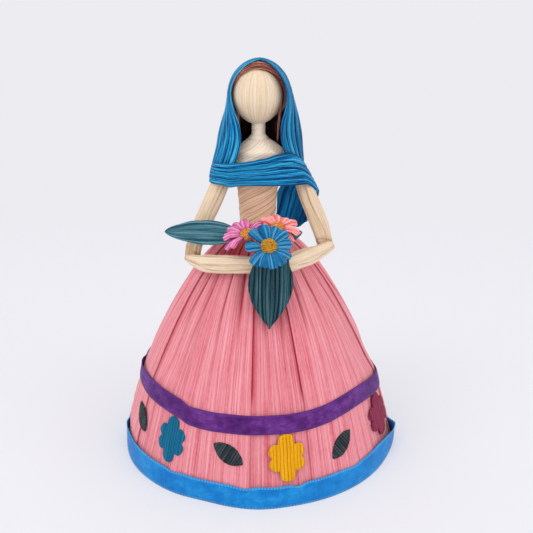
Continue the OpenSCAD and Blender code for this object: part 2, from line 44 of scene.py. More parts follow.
def ease(t):
    t = max(0.0, min(1.0, t))
    return t * t * (3 - 2 * t)


def ramp(x, start, run):  # 0 at start and 1 a run further, which may be negative
    return ease((x - start) / run)


def mix(a, b, t):
    return a + (b - a) * t


def wob(x, y=0.0, z=0.0):
    return noise.noise(Vector((x, y, z)))


def hill(x, middle, width):  # one soft hill
    return exp(-((x - middle) / width) ** 2)


def bump(a, middle, width):  # the same round a ring, angles in degrees
    return hill((a - middle + 180) % 360 - 180, 0, width)


def hills(a, rows):  # several on one ring, each row is height, middle and width
    return sum(height * bump(a, middle, width) for height, middle, width in rows)


def turned(r, a, z):  # a runs from the front towards the doll's left
    return Vector((r * sin(radians(a)), -r * cos(radians(a)), z))


def spline(values, x):  # smooth curve through a list of numbers or vectors
    last = len(values) - 1
    i = max(0, min(last - 1, int(math.floor(x))))
    t = x - i
    p0, p1 = values[max(i - 1, 0)], values[i]
    p2, p3 = values[i + 1], values[min(i + 2, last)]
    return 0.5 * (2 * p1 + (p2 - p0) * t + (2 * p0 - 5 * p1 + 4 * p2 - p3) * t * t
                  + (3 * p1 - p0 - 3 * p2 + p3) * t * t * t)


def pleat(beat, seed, wide=0.16):  # narrow valleys at whole beats, each with its own depth
    i = math.floor(beat + 0.5)
    depth = max(0.3, min(1.0, 0.72 + 0.9 * wob(i * 3.73 + 0.4, seed * 1.9, 0.7)))
    return depth * hill(beat, i, wide * (0.7 + 0.6 * depth))


def saw(x):  # a lapped edge: slow rise and quick drop
    peak = 0.86
    f = x - math.floor(x)
    return f / peak if f < peak else (1 - f) / (1 - peak)


def lapShade(x, at=0.96, wide=0.05):  # dark line at the foot of that drop
    return hill(x - math.floor(x), at, wide)


def srgb(r, g, b):  # screen values to the values a shader takes
    return tuple((c / 255 / 12.92) if c < 11 else ((c / 255 + 0.055) / 1.055) ** 2.4 for c in (r, g, b))


# shader sockets that can stand in sums
class Wire:
    def __init__(self, tree, socket=None):
        self.tree, self.socket = tree, socket

    def feed(self, socket, value):  # a wire is linked, any other value is set
        if isinstance(value, Wire):
            self.tree.links.new(value.socket, socket)
        else:
            socket.default_value = value

    def node(self, kind, settings=None, links=None, out=0):
        made = self.tree.nodes.new("ShaderNode" + kind)
        for key, value in (settings or {}).items():
            setattr(made, key, value)
        for key, value in (links or {}).items():
            self.feed(made.inputs[key], value)
        return Wire(self.tree, made.outputs[out])

    def maths(self, way, *values, clamp=False):
        return self.node("Math", {"operation": way, "use_clamp": clamp}, dict(enumerate(values)))

    def __add__(self, other):
        return self.maths("ADD", self, other)

    def __sub__(self, other):
        return self.maths("SUBTRACT", self, other)

    def __mul__(self, other):
        return self.maths("MULTIPLY", self, other)

    __radd__, __rmul__ = __add__, __mul__


paints = {}


def newPaint(name):
    mat = bpy.data.materials.new(name)
    mat.use_nodes = True
    return mat, mat.node_tree.nodes["Principled BSDF"], Wire(mat.node_tree)


def mixTint(w, fac, a, b):
    a, b = (x if isinstance(x, Wire) else (*x, 1) for x in (a, b))
    return w.node("Mix", {"data_type": "RGBA"}, {0: fac, 6: a, 7: b}, out=2)


def toneTint(w, tone, places, tints):  # tints from dark to pale along a tone
    made = w.node("ValToRGB", links={"Fac": tone})
    stops = made.socket.node.color_ramp.elements
    while len(stops) < len(places):
        stops.new(0.5)
    for stop, place, tint in zip(stops, places, tints):
        stop.position, stop.color = place, (*srgb(*tint), 1)
    return made


def plug(w, shader, **sockets):
    for key, value in sockets.items():
        w.feed(shader.inputs[key.replace("_", " ")], value)


def grainNoise(w, where, across, along, detail=2.0):
    lanes = w.node("Mapping", links={"Vector": where, "Scale": (across, along, 1)})
    return w.node("TexNoise", {"noise_dimensions": "2D"},
                  {"Vector": lanes, "Scale": 1.0, "Detail": detail, "Roughness": 0.6})


# how often a husk's grain changes across and along it, per millimetre
grainRates = {"fine": (1.9, 0.03), "vein": (0.75, 0.012), "strip": (0.16, 0.008), "crinkle": (2.4, 0.55),
              "mark": (0.5, 0.03), "line": 4.1}
even = (0.4, 0.5, 0.12, 0.12)  # weights of veins, fine ribs, strips and blotches
bold = (1.0, 0.6, 0.4, 0.2)


# dry corn husk: long veins, broad strips, faint blotches, and painted shade in the fourth tint where a piece
# darkens it
def huskPaint(key, tints, veins=1.3, relief=0.5, rough=0.6, weights=bold,
              streak=None, sheen=0.05, lines=0.35, kind="Husk"):
    paints[key], shader, w = newPaint(key + kind)
    deep, creaseShade = srgb(*tints[0]), srgb(*tints[3])
    grain = w.node("UVMap", {"uv_map": "grain"})

    def grown(rate, detail=2.0):
        across, along = grainRates[rate]
        return grainNoise(w, grain, veins * across, veins * along, detail)

    fine, vein, strip, crinkle = grown("fine"), grown("vein"), grown("strip", 1.0), grown("crinkle")
    blotch = w.node("TexNoise", links={"Vector": w.node("TexCoord", out=3), "Scale": 120.0, "Detail": 3.0})
    tone = 0.5 + (vein - 0.5) * weights[0] + (fine - 0.5) * weights[1]
    tone = tone + (strip - 0.5) * weights[2] + (blotch - 0.5) * weights[3] + (crinkle - 0.5) * 0.22
    tint = toneTint(w, tone, (0.3, 0.48, 0.7), tints)
    x = w.node("SeparateXYZ", links={"Vector": grain})
    wave = w.maths("SINE", x * (grainRates["line"] * veins) + 9 * vein)
    line = w.maths("MULTIPLY", wave - 0.6, 3.0, clamp=True)
    tint = mixTint(w, line * lines * (0.35 + strip), tint, deep)  # thin veins
    if streak:
        stain = toneTint(w, grown("mark", 3.0), (0.6, 0.7), ((0, 0, 0), (255, 255, 255)))
        tint = mixTint(w, stain * 0.5, tint, srgb(*streak))
    # painted shade: each piece's crease shade moves the colour towards the fourth tint
    fold = w.node("Attribute", {"attribute_name": "creaseShade"}, out=2)
    tint = mixTint(w, fold, tint, creaseShade)
    lift = vein * 0.5 + fine * 0.35 + crinkle * 0.3 - line * 0.25
    normal = w.node("Bump", links={"Strength": relief, "Distance": 0.0006, "Height": lift})
    plug(w, shader, Base_Color=tint, Roughness=rough + 0.2 * (vein - 0.5), Normal=normal,
         Specular_IOR_Level=0.1, Sheen_Weight=sheen, Sheen_Roughness=0.5)


# woven ribbon: crossing threads, a slow change of tone and two edges in the fourth tint
def ribbonPaint(key, name, tints, width, rough, gloss, weave, dots):
    selvage, dotStep = 0.95, 1.5  # width of an edge, and from one light dot on it to the next
    paints[key], shader, w = newPaint(name)
    grain = w.node("UVMap", {"uv_map": "grain"})
    x = w.node("SeparateXYZ", links={"Vector": grain})
    y = w.node("SeparateXYZ", links={"Vector": grain}, out=1)
    cloth = w.maths("SINE", x * (2 * pi / weave)) * w.maths("SINE", y * (2 * pi / weave))
    slub = grainNoise(w, grain, 0.3, 2.6)
    slow = grainNoise(w, grain, 0.06, 0.12, 1.0)
    mottle = grainNoise(w, grain, 0.22, 0.3, 3.0)
    tone = 0.5 + 0.06 * cloth + (slub - 0.5) * 0.3 + (slow - 0.5) * 0.4 + (mottle - 0.5) * 0.45
    tint = toneTint(w, tone, (0.3, 0.5, 0.72), tints)
    edge = w.maths("GREATER_THAN", w.maths("ABSOLUTE", y - width / 2), width / 2 - selvage)
    dot = w.maths("SINE", x * (pi / dotStep)) * dots + (1 - dots)
    tint = mixTint(w, edge * (0.1 + 0.5 * dot * dot), tint, srgb(*tints[3]))
    normal = w.node("Bump", links={"Strength": 0.3, "Distance": 0.0002, "Height": 0.5 * cloth + slub})
    plug(w, shader, Base_Color=tint, Roughness=rough + 0.25 * (slub - 0.5), Normal=normal,
         Specular_IOR_Level=gloss, Sheen_Weight=0.08, Sheen_Roughness=0.5)


# a husk's tints are deep, middle, pale and the painted shade in its creases and folds
huskPaint("pink", [(210, 88, 106), (230, 138, 147), (243, 170, 177), (170, 4, 34)],
          veins=0.7, rough=0.66, weights=(0.42, 0.52, 0.12, 0.12), sheen=0.2)
huskPaint("natural", [(214, 182, 142), (233, 210, 179), (244, 228, 205), (170, 126, 80)],
          relief=0.3, rough=0.62, weights=even, sheen=0.25)
# the natural husk painted lighter on the straps and neck: painted light where head and shawl shade them
huskPaint("chest", [(242, 216, 186), (254, 238, 216), (255, 246, 232), (186, 140, 94)],
          relief=0.3, rough=0.62, weights=even, sheen=0.3)
huskPaint("arm", [(214, 180, 138), (240, 216, 186), (248, 230, 206), (158, 106, 62)],
          veins=1.0, rough=0.62, weights=(0.5, 0.4, 0.2, 0.15), streak=(186, 138, 92), sheen=0.15)
# the waist wrap: natural husk painted pink, painted light thrown up from the skirt
huskPaint("blush", [(216, 166, 132), (246, 202, 166), (255, 224, 192), (168, 110, 82)],
          relief=0.4, rough=0.62, weights=(0.7, 0.8, 0.2, 0.15), sheen=0.2, lines=0.6)
huskPaint("blue", [(0, 50, 104), (0, 142, 204), (66, 188, 232), (0, 22, 66)],
          veins=1.0, relief=0.7, rough=0.55, weights=(0.7, 1.3, 0.2, 0.15), lines=0.75)
# the shawl's blue painted lighter on its tail: painted light where the tail hangs in shade
huskPaint("navy", [(0, 96, 164), (0, 138, 212), (40, 172, 238), (0, 40, 96)], veins=1.2, rough=0.55)
huskPaint("sky", [(0, 80, 130), (18, 118, 170), (86, 160, 200), (0, 34, 76)])
huskPaint("magenta", [(172, 56, 112), (224, 112, 168), (246, 172, 210), (96, 6, 44)])
huskPaint("coral", [(226, 80, 82), (250, 146, 144), (255, 204, 198), (170, 14, 30)])
huskPaint("leaf", [(34, 84, 96), (69, 124, 138), (116, 166, 178), (0, 24, 32)], relief=0.6, rough=0.55)
huskPaint("slate", [(26, 34, 40), (44, 54, 60), (92, 100, 102), (14, 20, 24)], veins=2.0, relief=0.7)
huskPaint("yellow", [(216, 140, 0), (244, 172, 8), (250, 192, 40), (132, 74, 0)], veins=1.0, weights=even)
huskPaint("teal", [(0, 86, 122), (4, 110, 148), (40, 136, 172), (0, 36, 60)], veins=1.0, weights=even)
huskPaint("maroon", [(106, 10, 46), (144, 36, 74), (172, 66, 102), (50, 0, 14)], veins=1.0, weights=even)
huskPaint("mustard", [(150, 94, 10), (204, 142, 36), (232, 182, 76), (84, 44, 0)],
          veins=1.5, relief=0.6, rough=0.65)
huskPaint("orange", [(196, 96, 20), (230, 142, 56), (248, 190, 112), (130, 46, 8)],
          veins=1.5, relief=0.6, rough=0.65)
huskPaint("hair", [(116, 50, 38), (190, 106, 84), (234, 178, 152), (58, 20, 16)],
          veins=2.6, relief=0.8, rough=0.5, lines=0.0, kind="Fibre")
# the hair fall: the fibre painted near black, painted shade behind the neck
huskPaint("shadedHair", [(10, 4, 4), (30, 15, 13), (92, 52, 42), (4, 2, 2)],
          veins=2.6, relief=0.7, rough=0.5, kind="Fibre")
print("husk paints ready:", len(paints))


# a grid whose points are laid out by a formula: place(s, t) gives point, grain and painted crease shade
def patch(cols, rows, place, weld=False, turn=False):
    bm = bmesh.new()
    bmesh.ops.create_grid(bm, x_segments=cols, y_segments=rows, size=0.5)
    grain = bm.loops.layers.uv.new("grain")
    creaseShade = bm.verts.layers.float.new("creaseShade")
    spots = {}
    for v in bm.verts:
        point, spots[v], fold = place(v.co.x + 0.5, v.co.y + 0.5)
        v.co = Vector(point) * mm
        v[creaseShade] = max(0.0, min(1.0, fold))
    for f in bm.faces:
        f.smooth = True
        for loop in f.loops:
            loop[grain].uv = spots[loop.vert]
    if weld:
        bmesh.ops.remove_doubles(bm, verts=bm.verts, dist=0.002 * mm)
    if turn:
        bmesh.ops.reverse_faces(bm, faces=bm.faces)
    return bm


def joined(parts):
    whole = parts[0]
    for part in parts[1:]:
        spare = bpy.data.meshes.new("spare")
        part.to_mesh(spare)
        whole.from_mesh(spare)
        bpy.data.meshes.remove(spare)
        part.free()
    return whole


def camel(node):
    first, *rest = node.split("_")
    return first + "".join(word.capitalize() for word in rest)


def added(name, data):
    obj = bpy.data.objects.new(name, data)
    scene.collection.objects.link(obj)
    return obj


def meshObject(name, bm, mat):
    mesh = bpy.data.meshes.new(name)
    bm.to_mesh(mesh)
    bm.free()
    mesh.materials.append(mat)
    return added(name, mesh)


# one piece of the doll, named as the node it stands for
def piece(node, bm, paint, thick=0.0, name=None):
    obj = meshObject(name or camel(node), bm, paints[paint])
    if thick:
        wall = obj.modifiers.new("wall", "SOLIDIFY")
        wall.thickness, wall.offset = thick * mm, -1.0
    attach(obj, "root")
    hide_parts(node)
    return obj


# skirt of twelve lapped husks, gathered at the waist
skirt = {"hemR": 73.0, "borderH": 45.0, "borderR": 59.5, "waistZ": 114.0, "crestR": 10.4, "bell": 0.634,
         "count": 12, "lap": 2.5, "turn": 9.5, "fold": 1.2, "lay": 0.75, "thick": 0.5, "footZ": 0.4,
         "foldR": 2.15, "legR": 8.25, "tuck": 9.0, "gather": 2.2, "roll": 0.55, "ripple": 0.2, "grain": 22}
gatherLines = {12: (-4.2, 8.0), 1: (-5.0, 6.5), 2: (-7.5, 10.6), 3: (-4.5, 5.0), 11: (-6.0, 7.0)}  # degrees
hemPulls = [(1.4, -80, 14), (1.2, -21, 9), (-0.9, 1, 9), (-1.5, 84, 12)]  # height, degrees round, width
borderSwells = [(2.0, 84, 14), (0.8, -84, 9)]


def drawIn(a, z):  # the hem is drawn in at one side and out at the other, and the border swells a little
    pull = hills(a, hemPulls) * ramp(z, 16, -16)
    return pull - hills(a, borderSwells) * ramp(z, 6, 10) * ramp(z, 48, -10)


def skirtR(z):
    if z < skirt["borderH"]:
        return mix(skirt["hemR"], skirt["borderR"], z / skirt["borderH"])
    rise = max(skirt["waistZ"] - z, 0) / (skirt["waistZ"] - skirt["borderH"])
    return mix(skirt["crestR"], skirt["borderR"], rise ** skirt["bell"])


def skirtLine():
    straight, curved = 18, 42  # rows below and above the border's height
    top, low, foldR = skirt["waistZ"], skirt["borderH"], skirt["foldR"]
    rows = [mix(skirt["footZ"], low, k / straight) for k in range(straight + 1)]
    rows += [mix(low, top, 1 - (1 - k / curved) ** 1.7) for k in range(1, curved + 1)]
    line = [Vector((skirtR(z), z)) for z in rows]
    for a in (30, 60, 90):  # over the fold at the waist
        line.append(Vector((skirt["crestR"] - foldR * sin(radians(a)), top - foldR * (1 - cos(radians(a))))))
    for k in (1, 2, 3):  # and down inside to the tie
        line.append(Vector((skirt["legR"], top - foldR - skirt["tuck"] * k / 3)))
    return line


huskLine = skirtLine()
huskRun = [0.0]
for k in range(1, len(huskLine)):
    huskRun.append(huskRun[-1] + (huskLine[k] - huskLine[k - 1]).length)


def skirtHusk(k):
    over = k % 2 == 0
    pitch = 360 / skirt["count"]
    mid = skirt["turn"] + (k - 1) * pitch
    half, free = pitch / 2 + skirt["lap"], pitch / 2 - skirt["lap"]
    last = len(huskLine) - 1
    lines = gatherLines.get(k, (-6 + 2 * wob(k * 1.7, 0.5), 5 + 2 * wob(k * 2.3, 0.5)))
    lapShading, underShading = (1.0, 0.11) if k == 1 else (0.6, 0.04)  # painted shade on the under husks, strongest on the front one, which lies deepest

    def place(s, t):
        i = round(t * last)
        d = huskLine[min(i + 1, last)] - huskLine[max(i - 1, 0)]
        n = Vector((d.y, -d.x)).normalized()
        r, z = huskLine[i]
        a = mix(-half, half, s)
        inner = ramp(abs(a), free, -3)  # nothing moves in the laps
        crest = ramp(r, skirt["crestR"], 3)  # nor at the fold
        swell = skirt["fold"] * ramp(z, skirt["borderH"], 14) * ramp(r, skirt["crestR"], 12)
        swell *= cos(pi / 2 * min(abs(a) / free, 1)) ** 2
        wide = mix(3.6, 1.5, ramp(z, 60, 45))
        valley = max(hill(a, line + 1.2 * wob(k, z * 0.03, line), wide) for line in lines)
        drop = ramp(z, 70, 36) * crest * inner * min(skirt["gather"], 0.07 * r) * valley
        roll = skirt["roll"] * inner * ramp(z, 47, 16) * ramp(r, 14, 14) * sin(radians(a * 15) + 1.7 * k)
        ripple = skirt["ripple"] * inner * ramp(z, 46, 10) * wob(s * 6 + k * 5.7, z * 0.012, k)
        off = (swell + roll if over else -skirt["lay"] - swell - abs(roll)) - drop + ripple
        # painted shade in the gathered valleys towards the waist
        shade = 0.95 * ramp(z, 66, 26) * inner * crest * valley ** 5
        shade += 0.9 * ramp(z, 102, 5) * bump(mid + a, -36, 30)  # painted shadow of the bouquet
        # painted shade along the edges where the over husks lap the under husks
        if not over:
            lap = 0.75 * ramp(abs(a), free - 1.7, 1.7) + 0.2 * ramp(abs(a), free - 5, 5)
            shade += lapShading * (underShading + lap * ramp(z, 44, 8))
        point = turned(r + n.x * off - drawIn(mid + a, z), mid + a, z + n.y * off)
        return point, (a / half * skirt["grain"], huskRun[i]), shade

    return piece("skirt_husk_%02d" % k, patch(64, last, place), "pink", skirt["thick"])


husks = [skirtHusk(k) for k in range(1, skirt["count"] + 1)]
print("skirt husks:", len(husks))

# ribbons round the skirt; the hills are height, degrees round and width
purple = {"width": 9.0, "top": 41.7, "foot": 33.62, "thick": 0.35, "stand": 0.25, "length": 384, "grain": 200,
          "rise": [(2.2, 50, 18), (-1.6, 95, 25)], "high": [(3.0, -66, 45), (1.6, -95, 18)],
          "loose": [(1.8, -80, 9), (0.8, 77, 10)]}
hem = {"width": 10.5, "thick": 0.4, "footR": 73.4, "stand": 1.2, "length": 460, "grain": 240, "steps": 720,
       "picot": 0.22, "dips": [(0.9, -36, 3), (1.4, -5, 4), (1.0, 7, 7), (1.4, 16, 2.4), (1.1, 42, 4)]}
ribbonPaint("purple", "purpleRibbon", [(60, 14, 82), (90, 34, 116), (122, 66, 152), (100, 46, 128)],
            width=purple["width"], rough=0.65, gloss=0.12, weave=0.55, dots=0.0)
ribbonPaint("hem", "blueRibbon", [(0, 108, 186), (0, 126, 202), (40, 154, 220), (104, 182, 234)],
            width=hem["width"], rough=0.5, gloss=0.15, weave=0.45, dots=1.0)
coneSlope = (skirt["hemR"] - skirt["borderR"]) / skirt["borderH"]
coneLean = math.atan(coneSlope)


def coneR(z):
    return skirt["hemR"] - coneSlope * z


def purplePlace(s, t):
    a = 360 * s - 180
    top = purple["top"] + hills(a, purple["rise"]) + 0.2 * wob(a * 0.12, 3.3)
    # it steps down where its two ends meet
    top += hills(a, purple["high"]) * (1 - ramp(a, -43, 11)) + bump(a, -36, 3.5)
    z = top - purple["width"] * cos(coneLean) * (1 - t)
    loose = t * hills(a, purple["loose"]) + 0.28 * max(0, wob(a * 0.09, t * 0.8, 7.7))
    off = purple["thick"] + (purple["stand"] + loose) * (1 - ramp(abs(a), 85, 5))  # lies close behind
    off += 0.7 * bump(a, -33, 3) * ease(1.4 * t)
    r = max(coneR(z), skirtR(z) + skirt["lay"] * ramp(z, 43, 6)) + off
    run = a / 360 * purple["length"] + purple["grain"]
    return turned(r - drawIn(a, z), a, z), (run, t * purple["width"]), 0.0


def hemPlace(s, t):
    a = 360 * s - 180
    picot = hem["picot"] * (round(s * hem["steps"]) % 2) if t > 0.99 else 0.0
    top = hem["width"] - 0.1 + 0.4 * wob(a * 0.04, 9.1) - hills(a, hem["dips"])
    z = mix(0.12, top, t) + picot
    out = hem["stand"] * (0.5 + 0.4 * wob(a * 0.06, 2.2)) + 3.4 * ramp(a, 57, 23) + bump(a, -80, 14)
    out *= 1 - ramp(abs(a), 80, 6)
    r = mix(hem["footR"], skirtR(hem["width"]) + hem["thick"] + out, t) + 0.25 * sin(pi * t)
    run = a / 360 * hem["length"] + hem["grain"]
    return turned(r - drawIn(a, z), a, z), (run, t * hem["width"]), 0.0


purpleRibbon = piece("border_ribbon", patch(360, 6, purplePlace, weld=True), "purple", purple["thick"],
                     name="purpleRibbon")
hemRibbon = piece("hem_ribbon", patch(hem["steps"], 6, hemPlace, weld=True), "hem", hem["thick"])
print("ribbons done")

# cut husk flowers and leaves glued round the border
border = {"turn": 12.0, "thick": 0.6, "gap": 0.15, "wall": 0.4,
          "flowerW": 18.0, "flowerH": 22.0, "petals": 6, "petalR": 0.235, "heart": 0.28, "cut": 0.8,
          "leafL": 17.0, "leafW": 8.5, "flowerRib": 1.55, "leafRib": 1.3}
borderFlowers = [("yellow", 0, 0, 1.05), ("maroon", 6.4, 0, 1.4), ("teal", 4, 0, 1), ("yellow", 1, 0, 1),
                 ("maroon", -1.5, 0, 1), ("yellow", -6, 0, 0.74), ("teal", 0, 1.4, 1)]  # shift, lift, breadth
borderLeaves = [(36, 0, -0.4), (-35, 8.5, 0), (-60, 3, 0), (40, 0, 0), (-50, -4, 0), (-38, 2, 2.0),
                (-29, 1.7, 1.5)]  # twist, shift round, lift
borderMid = (hem["width"] + purple["foot"]) / 2
borderStep = 180 / len(borderFlowers)


def flowerReach(a):  # distance from the middle to the outline
    petalR = border["flowerW"] * border["petalR"]
    far = border["flowerW"] * border["heart"]
    for k in range(border["petals"]):
        c = (border["flowerH"] if k % 3 == 0 else border["flowerW"]) / 2 - petalR
        d = a - pi / 2 - k * 2 * pi / border["petals"]
        if abs(c * sin(d)) < petalR:
            far = max(far, c * cos(d) + math.sqrt(petalR ** 2 - (c * sin(d)) ** 2))
    return far


def leafReach(a):
    long, wide = border["leafL"], border["leafW"]
    r = (long * long + wide * wide) / (4 * wide)
    c = (r - wide / 2) * abs(sin(a))
    return -c + math.sqrt(c * c + r * r - (r - wide / 2) ** 2)


def onBorder(node, paint, around, lift, reach, rib, seed, twist=0.0, broad=1.0, cut=0.0):
    def place(s, t):
        a = 2 * pi * s
        edge = reach(a) * (1 + 0.03 * wob(3 * cos(a), 3 * sin(a), seed)) - 0.1
        edge -= cut * max(0, cos(border["petals"] * (a - pi / 3))) ** 2  # scissor cuts between the petals
        gx, gy = t * edge * cos(a), t * edge * sin(a)
        x, y = (gx * cos(twist) - gy * sin(twist)) * broad, gx * sin(twist) + gy * cos(twist)
        ridge = abs(sin(pi * (gx / rib + 0.25 * wob(gy * 0.12, gx * 0.1, seed)))) ** 0.5
        rim = 1 - ramp(t, 0.88, 0.12)
        off = border["gap"] + border["thick"] * (0.35 + 0.65 * rim) * (0.62 + 0.38 * ridge)
        z = borderMid + lift + y
        here = around + degrees(math.asin(x / coneR(z)))
        point = turned(coneR(z) + off - drawIn(here, z), here, z + off * coneSlope)
        # painted shade in the grooves between the ridges
        return point, (gx, gy), 0.95 * (1 - ridge) ** 1.2

    piece(node, patch(144, 30, place, weld=True, turn=True), paint, border["wall"])


for k, (cutFlower, cutLeaf) in enumerate(zip(borderFlowers, borderLeaves), 1):
    tintName, shift, lift, broad = cutFlower
    around = border["turn"] + (2 * k - 2) * borderStep + shift
    onBorder("border_flower_%d" % k, tintName, around, lift, flowerReach, border["flowerRib"], k,
             broad=broad, cut=border["cut"])
    twist, shift, lift = cutLeaf
    around = border["turn"] + (2 * k - 1) * borderStep + shift
    onBorder("border_leaf_%d" % k, "slate", around, lift, leafReach, border["leafRib"], 20 + k,
             twist=radians(twist))
print("border flowers and leaves done")

# body: half width and half depth at each height
body = {"shoulderZ": 152.0, "headZ": 181.85, "neckR": 3.35, "skin": 0.3, "thick": 0.6,
        "wall": 0.5, "strapZ": (140.0, 163.0), "wrapZ": (114.15, 139.85), "strapLean": 0.8, "wrapLean": 0.62}
bodyRows = [102.85, 113.0, 124.0, 134.9, 145.0, 151.0, 155.0, 158.6, 163.0]
bodyWide = [8.1, 8.1, 8.1, 8.9, 11.0, 13.0, 11.5, 7.65, 3.35]
bodyDeep = [8.1, 8.1, 7.0, 7.4, 8.0, 8.0, 7.2, 5.33, 3.35]


def bodyAt(z, table):
    for k in range(len(bodyRows) - 1):
        if z <= bodyRows[k + 1]:
            share = (z - bodyRows[k]) / (bodyRows[k + 1] - bodyRows[k])
            return mix(table[k], table[k + 1], max(0, share))
    return table[-1]


def softAt(z, table):  # rounds the corners between the rows
    return (bodyAt(z - 0.8, table) + bodyAt(z, table) + bodyAt(z + 0.8, table)) / 3


def bodyPoint(a, z, off):
    wide, deep = softAt(z, bodyWide) + off, softAt(z, bodyDeep) + off
    shift = 1.7 * ramp(z, 146, 8) - 1.2 * ramp(z, 156, 6)  # leans a little to one side
    return Vector((shift + wide * sin(radians(a)), -deep * cos(radians(a)), z))


def strapPlace(side, layer):
    foot, top = body["strapZ"]
    under = body["skin"] + 0.1 + layer * (body["thick"] + body["skin"]) + body["thick"]

    def place(s, t):
        z = mix(foot, top, t)
        a = side * mix(-26, 40, (z - foot) / (top - foot)) + mix(-52, 52, s)
        x = radians(a) * 9
        lane = z - body["strapLean"] * x
        lapLine = lane / 5.6 + 0.2 * layer + 0.1 * wob(x * 0.2, z * 0.1, layer)
        rib = pleat((lane + 0.35 * wob(x * 0.15, z * 0.15, 2.0)) / 1.5, layer + 2, 0.2)
        off = (under + 0.22 * saw(lapLine) - 0.16 * rib) * mix(1, 0.05, ramp(z, 155.5, 7))
        off += 1.2 * ramp(z, 152, 5) * ramp(z, 162.8, -3)  # full shoulders
        shade = 0.32 * rib + 0.3 * lapShade(lapLine)
        return bodyPoint(a, z, off), (lane, x + body["strapLean"] * z), shade
    return place


def waistPlace(s, t):
    z = mix(*body["wrapZ"], t)
    a = 2 * pi * s
    ca, sa = cos(a), sin(a)
    x = a * 8
    lane = z - body["wrapLean"] * x
    lapLine = z / 7.5 - 4 * s + 0.08 * wob(ca * 2, sa * 2, z * 0.15)
    rib = pleat((lane + 0.3 * wob(ca * 3, sa * 3, z * 0.2)) / 1.299, 5, 0.2)
    off = body["skin"] + body["thick"] + 0.3 * saw(lapLine) - 0.14 * rib
    shade = 0.4 * rib + 0.6 * lapShade(lapLine)
    return bodyPoint(360 * s - 180, z, off), (lane, x + body["wrapLean"] * z), shade


piece("bodice_strap_right", patch(90, 90, strapPlace(-1, 1)), "chest", body["wall"])
piece("bodice_strap_left", patch(90, 90, strapPlace(1, 0)), "chest", body["wall"])
piece("waist_wrap", patch(144, 96, waistPlace, weld=True), "blush", body["wall"])
print("bodice done")

# blank face husk gathered to the neck
head = {"z": 182.3, "wide": 12.3, "tall": 13.8, "neckR": 3.2, "pleats": 34, "ballR": 12.05, "chinZ": 171.5,
        "neckX": 0.5, "neckZ": (161.6, 170.2)}


def facePlace(s, t):
    a = 2 * pi * s
    polar = pi * (1 - t)  # t = 0 under the chin, 1 at the crown
    egg = 1 - 0.06 * max(0.0, -cos(polar)) ** 2
    r = head["wide"] * sin(polar) * egg
    z = head["z"] + head["tall"] * cos(polar)
    tuck = ramp(t, 0.24, -0.2)
    gather = 0.5 - 0.5 * cos(head["pleats"] * a + 2 * wob(cos(a) * 3, sin(a) * 3))
    r = max(r, mix(0, head["neckR"] - 0.6, ramp(t, 0.16, -0.08)))
    r = r * (1 - 0.05 * tuck * gather) + 0.1 * wob(cos(a) * 2, sin(a) * 2, t * 3) * sin(polar)
    point = Vector((r * sin(a), -r * cos(a), z))
    middle = Vector((0, 0, body["headZ"]))
    if z > head["chinZ"] and (point - middle).length < head["ballR"]:  # never inside the ball it covers
        point = middle + (point - middle).normalized() * head["ballR"]
    run = a * 12
    fine = 0.12 * pleat(run / 2.1, 3, 0.12) ** 2
    # painted shade in the gathers under the chin, where the husk tucks in, and in fine pleats
    return point, (run, t * 39), 0.4 * tuck * gather ** 2 + 0.2 * ramp(t, 0.13, -0.1) + fine


def neckPlace(s, t):
    a = 2 * pi * s
    z = mix(*head["neckZ"], t)
    flare = 2.1 * ramp(z, 164.4, -3.6) + 0.35 * ramp(z, 168.6, 2)
    lapLine = z / 2.6 - 2 * s
    r = body["neckR"] + flare + 0.05 * saw(lapLine)
    point = Vector((head["neckX"] + r * sin(a), -r * cos(a), z))
    return point, (z * 1.2 - 8 * s, s * 21), 0.3 * lapShade(lapLine, 0.97, 0.06)


piece("face_husk", patch(192, 72, facePlace, weld=True), "natural")
piece("neck_wrap", patch(64, 28, neckPlace, weld=True), "chest", body["wall"])
print("head done")

# hair: fibres that arch round the face, loose ones beside the neck and a fall behind it in painted shade
hair = {"faceR": 12.5, "r": 14.75, "z": 183.9, "x": 0.6, "strands": 130, "strandR": 0.13,
        "loose": 12, "looseR": 0.2, "looseZ": (179.5, 160.5),
        "fall": 46, "fallR": 0.16, "fallZ": (157.8, 173.5)}


def hairPoint(side, beta, far):  # side runs round the face from the crown, beta back from the nose
    d = Vector((sin(beta) * sin(side), -cos(beta), sin(beta) * cos(side)))
    lift = hair["z"] - head["z"]
    reach = lift * d.z + math.sqrt((lift * d.z) ** 2 + hair["r"] ** 2 - lift ** 2)
    return Vector((hair["x"], 0, head["z"])) + d * mix(hair["faceR"] - 0.2, reach, far)


def hairFront(side):
    low = 79 if side < 0 else 76
    return mix(66, low, ease((1 - cos(side)) / 1.2))


def hairThin(side):  # lies flatter at the doll's right
    return mix(1.0, 0.85, ramp(side, radians(-20), -1.2))


def hairPlace(s, t):
    side = radians(mix(-150, 150, s))
    front = radians(hairFront(side) + 2.0 * wob(s * 9, 4.4))
    beta = mix(front, radians(176), t ** 1.3)
    far = hairThin(side) * ease(t / 0.06) * (0.84 + 0.14 * wob(t * 60, s * 5, 1.2))
    far *= ramp(abs(s - 0.5), 0.5, -0.1)
    lock = 0.5 + 0.9 * wob(t * 52, s * 3, 6.1)
    return hairPoint(side, beta, far), (t * 30, s * 60), 0.45 * lock


def strand(points, r, lane):
    last = len(points) - 1

    def place(s, t):
        i = t * last
        along = (spline(points, min(i + 0.2, last)) - spline(points, max(i - 0.2, 0))).normalized()
        across = along.cross(Vector((0.3, 0.9, 0.2))).normalized()
        thick = r * (1 - 0.75 * abs(2 * t - 1) ** 4)
        a = 2 * pi * s
        point = spline(points, i) + (across * cos(a) + along.cross(across) * sin(a)) * thick
        return point, (lane + s * 0.8, t * 40), 0.0
    return patch(4, last * 2, place, weld=True, turn=True)


